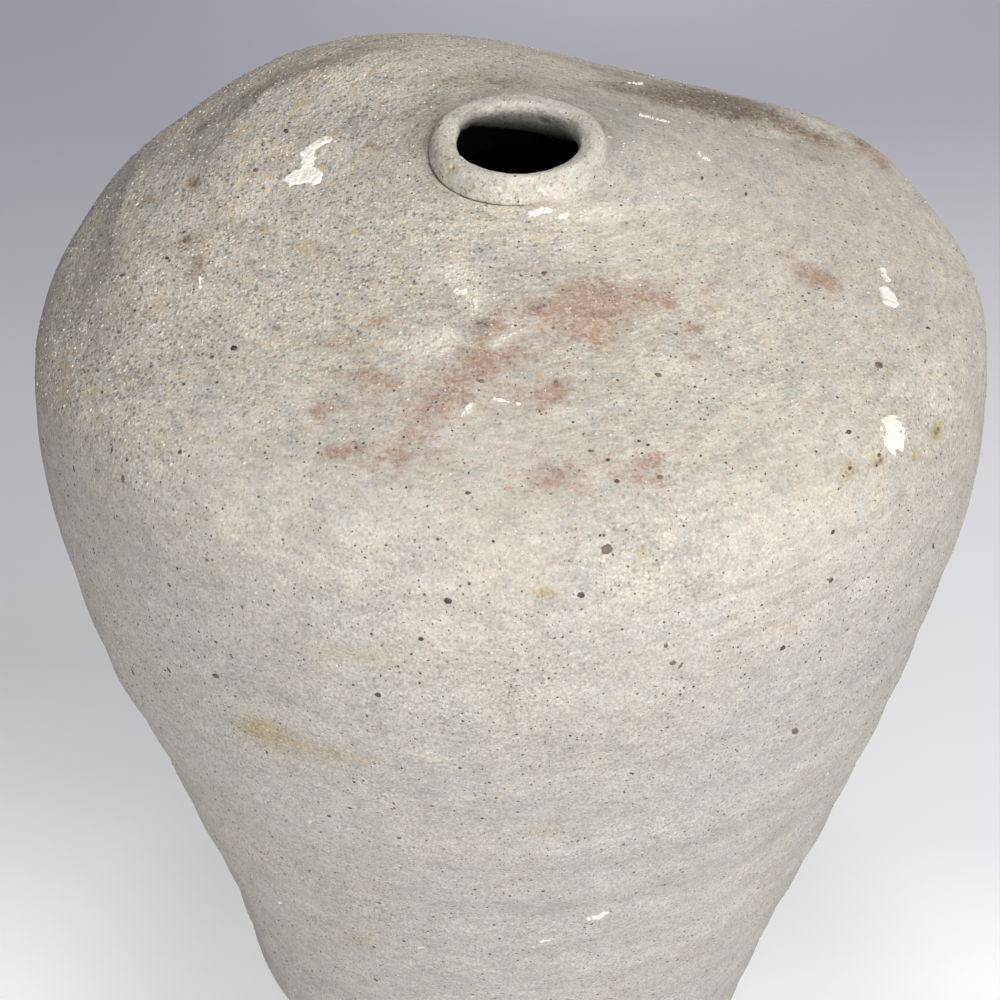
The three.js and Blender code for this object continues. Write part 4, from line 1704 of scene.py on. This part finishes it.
def make_floor():
    """A pale sweep of paper with painted light falling off: white in front, cooler and darker behind, as the
    camera sees it.
    """
    half = PAPER_HALF
    mesh = bpy.data.meshes.new("floor")
    corners = [(-half, -half, 0), (half, -half, 0), (half, half, 0), (-half, half, 0)]
    mesh.from_pydata(corners, [], [(0, 1, 2, 3)])
    floor = add_object("floor", mesh)
    material = bpy.data.materials.new("paper_floor")
    material.use_nodes = True
    tree = material.node_tree
    shader = tree.nodes["Principled BSDF"]
    place = tree.nodes.new("ShaderNodeTexCoord").outputs["Object"]
    split = tree.nodes.new("ShaderNodeSeparateXYZ")
    tree.links.new(place, split.inputs[0])
    back = tree.nodes.new("ShaderNodeMapRange")
    back.inputs["From Min"].default_value = PAPER_FRONT
    back.inputs["From Max"].default_value = PAPER_BACK
    tree.links.new(split.outputs["Y"], back.inputs["Value"])
    tones = []
    for stops in PAPER_TONES:
        ramp = tree.nodes.new("ShaderNodeValToRGB")
        while len(ramp.color_ramp.elements) < len(stops):
            ramp.color_ramp.elements.new(0.5)
        for element, (position, tone) in zip(ramp.color_ramp.elements, stops):
            element.position = position
            element.color = srgb(tone, tone, tone + PAPER_BLUE * position)
        tree.links.new(back.outputs["Result"], ramp.inputs["Fac"])
        tones.append(ramp.outputs["Color"])
    seen = tree.nodes.new("ShaderNodeLightPath").outputs["Is Camera Ray"]
    side = tree.nodes.new("ShaderNodeMapRange")
    side.inputs["From Min"].default_value = PAPER_LEFT
    side.inputs["From Max"].default_value = PAPER_RIGHT
    tree.links.new(split.outputs["X"], side.inputs["Value"])
    paper = mix_colour(tree, side.outputs["Result"], *tones)
    # Far behind, the paper catches a little more light in the middle
    aside = math_node(tree, "ABSOLUTE", math_node(tree, "SUBTRACT", split.outputs["X"], PAPER_SHEEN_AT))
    near = ramp_between(tree, aside, PAPER_SHEEN_WIDE, 0.0)
    far = ramp_between(tree, back.outputs["Result"], 0.72, 1.0)
    paper = mix_colour(tree, math_node(tree, "MULTIPLY", near, far), paper, PAPER_SHEEN)
    # Painted shadow round the jar's foot, and painted light in the front left corner, the brightest
    away = vector_node(tree, "LENGTH", vector_node(tree, "MULTIPLY", place, (1, 1, 0)))
    painted_foot_shadow = ramp_between(tree, away, 0.14, 0.085)
    paper = mix_colour(tree, painted_foot_shadow, paper, grey(PAPER_SHADOW_BY_THE_FOOT), "MULTIPLY")
    in_front = ramp_between(tree, back.outputs["Result"], 0.22, 0.10)
    at_left = ramp_between(tree, split.outputs["X"], 0.0, -0.12)
    corner = math_node(tree, "MULTIPLY", in_front, at_left)
    paper = mix_colour(tree, corner, paper, grey(PAPER_LIGHT_IN_THE_CORNER), "MULTIPLY")
    lit = mix_colour(tree, 1.0, paper, grey(PAPER_LIT), "MULTIPLY")
    colour = mix_colour(tree, seen, PAPER_ITSELF, lit)
    tree.links.new(colour, shader.inputs["Base Color"])
    # A share of the paper's brightness doesn't come from these lamps, so the shadow stays soft and pale
    tree.links.new(paper, shader.inputs["Emission Color"])
    glow = math_node(tree, "MULTIPLY", seen, PAPER_GLOW)
    tree.links.new(glow, shader.inputs["Emission Strength"])
    shader.inputs["Roughness"].default_value = 0.9
    shader.inputs["Specular IOR Level"].default_value = 0.1
    mesh.materials.append(material)


def make_world():
    world = bpy.data.worlds.new("studio")
    bpy.context.scene.world = world
    world.use_nodes = True
    tree = world.node_tree
    back = tree.nodes["Background"]
    seen = tree.nodes.new("ShaderNodeLightPath").outputs["Is Camera Ray"]
    colour = mix_colour(tree, seen, STUDIO_LIGHT, STUDIO_WALL)
    tree.links.new(colour, back.inputs["Color"])
    back.inputs["Strength"].default_value = 1.0


def make_studio():
    make_floor()
    make_world()
    for name, azimuth, elevation, power in LAMPS:
        area_light(name, azimuth, elevation, power)
    bpy.context.scene.view_settings.view_transform = "Standard"


make_camera()

# What each kind of mark does to the clay's colour: blend, tint, blotch size, edge, granular, strength
JAR_STAINS = [
    ("ochre", "MULTIPLY", (0.86, 0.74, 0.48, 1), 3, 1.1, 2.4, 0.75),
    ("brown", "MULTIPLY", (0.42, 0.36, 0.31, 1), 3.5, 1.2, 3.0, 0.9),
    ("pink", "MULTIPLY", (0.74, 0.55, 0.49, 1), 2.4, 1.9, 4.2, 0.9),
    ("plum", "MULTIPLY", (0.62, 0.50, 0.50, 1), 3, 0.8, 1.6, 0.8),
    ("pale", "MIX", srgb(236, 230, 214), 3, 1.6, 5.5, 0.75),
]
STONEWARE = clay_material("stoneware", srgb(202, 195, 181), srgb(196, 193, 187), 1.2, 0.2, JAR_STAINS)
# The ring's clay is a lighter copy of the stoneware: painted light on the ring
LIT_MOUTH_CLAY = clay_material("mouth_stoneware", srgb(210, 205, 193), srgb(205, 203, 195), 1.0, 0.03, JAR_STAINS)
IRON = grain_material("iron_slag", srgb(64, 57, 53), srgb(124, 112, 103), 0.55)
PALE_GRIT = grain_material("pale_grit", srgb(238, 232, 217), srgb(214, 207, 190), 0.8)
LIME = grain_material("lime_crust", srgb(255, 252, 244), srgb(241, 235, 220), 0.85)

SKINS, OUTSIDE = make_skins()
STANDS_FOR = {"base_skin": "base_disc", "wall_skin": "body_wall", "shoulder_skin": "shoulder_dome"}

for name, node in STANDS_FOR.items():
    grid, shown = SKINS[name]
    mesh = closed_mesh(name, grid)
    mesh.materials.append(STONEWARE)
    shown = np.repeat(shown, AROUND)
    radius = np.hypot(grid[..., 0] - MOUTH_OFFSET, grid[..., 1]).ravel()
    # Painted shade: the dome's edge at the hole is painted black, and its inner faces are painted 0.6 dark
    in_mouth = (radius < DOME_HOLE_RADIUS + 1.2) & (grid[..., 2].ravel() > SEAM_HEIGHT)
    under_dome = ~shown & (name == "shoulder_skin")
    ring_shade_and_dirt = ring_back_shade_and_dirt(radius, np.tile(ANGLES, len(grid))) * (grid[..., 2].ravel() > SEAM_HEIGHT)
    paint(mesh, shown, np.maximum(in_mouth, 0.6 * under_dome), ring_shade_and_dirt)
    piece = add_object(name, mesh)
    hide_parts(node)
    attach(piece, "root")

ring, ring_painted_shade = ring_grid()
mesh = closed_mesh("mouth_skin", ring)
mesh.materials.append(LIT_MOUTH_CLAY)
paint(mesh, np.ones(len(mesh.vertices)), ring_painted_shade.ravel(), shade_and_dirt_share=0.25)
mouth = add_object("mouth_skin", mesh)
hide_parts("mouth_ring")
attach(mouth, "root")

outside_mesh = open_mesh("outside", OUTSIDE)
corners, sides = [], []
for mesh in (outside_mesh, mouth.data):
    first = len(corners)
    corners.extend(v.co.copy() for v in mesh.vertices)
    sides.extend(tuple(first + i for i in p.vertices) for p in mesh.polygons)
outside_tree = BVHTree.FromPolygons(corners, sides)
places = OUTSIDE.reshape(-1, 3)
clear_of_ring = smooth(np.hypot(places[:, 0] - MOUTH_OFFSET, places[:, 1]), RING_RADIUS, RING_RADIUS + 1.5)
on_ground = smooth(places[:, 2], 1, 4)
coarse = coarse_share(places)
chalk = soft_marks(places, grid_normals(OUTSIDE).reshape(-1, 3))["pale"]
for attribute, weight in (
    ("grit", coarse**1.6),
    ("iron", 0.75 + 0.25 * smooth(places[:, 2], 150, 215)),
    ("chalk", chalk**1.5 * smooth(lumps(places, 2.2, 71), -0.35, 0.45)),
):
    layer = outside_mesh.attributes.new(attribute, "FLOAT", "POINT")
    layer.data.foreach_set("value", (weight * clear_of_ring * on_ground).astype(np.float32))

# Grains strewn in the clay: how many per square metre where they are thickest, least and most radius
grains = scatter_tree()
STREWN = [
    ("iron_grains", IRON, "iron", 42000.0, 0.12, 0.34, 3),
    ("pale_grains", PALE_GRIT, "grit", 105000.0, 0.16, 0.42, 8),
    ("pale_stones", PALE_GRIT, "grit", 2600.0, 0.35, 0.65, 12),
    ("chalk_flecks", LIME, "chalk", 900000.0, 0.14, 0.40, 17),
]
for name, material, weight, density, smallest, largest, seed in STREWN:
    values = {
        "Grains per square metre": density,
        "Smallest": smallest * MM,
        "Largest": largest * MM,
        "Flatness": 0.35,
        "Lumps per metre": 0.6 / (largest * MM),
        "Push": 0.9 * largest * MM,
        "Weight": weight,
        "Seed": seed,
    }
    piece = strew(name, outside_mesh.copy(), grains, material, values)
    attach(piece, "root")

for name, mesh, material in (
    ("iron_spots", iron_spot_mesh(outside_tree), IRON),
    ("lime_crusts", crust_mesh(outside_tree), LIME),
):
    mesh.materials.append(material)
    piece = add_object(name, mesh)
    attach(piece, "root")

make_studio()
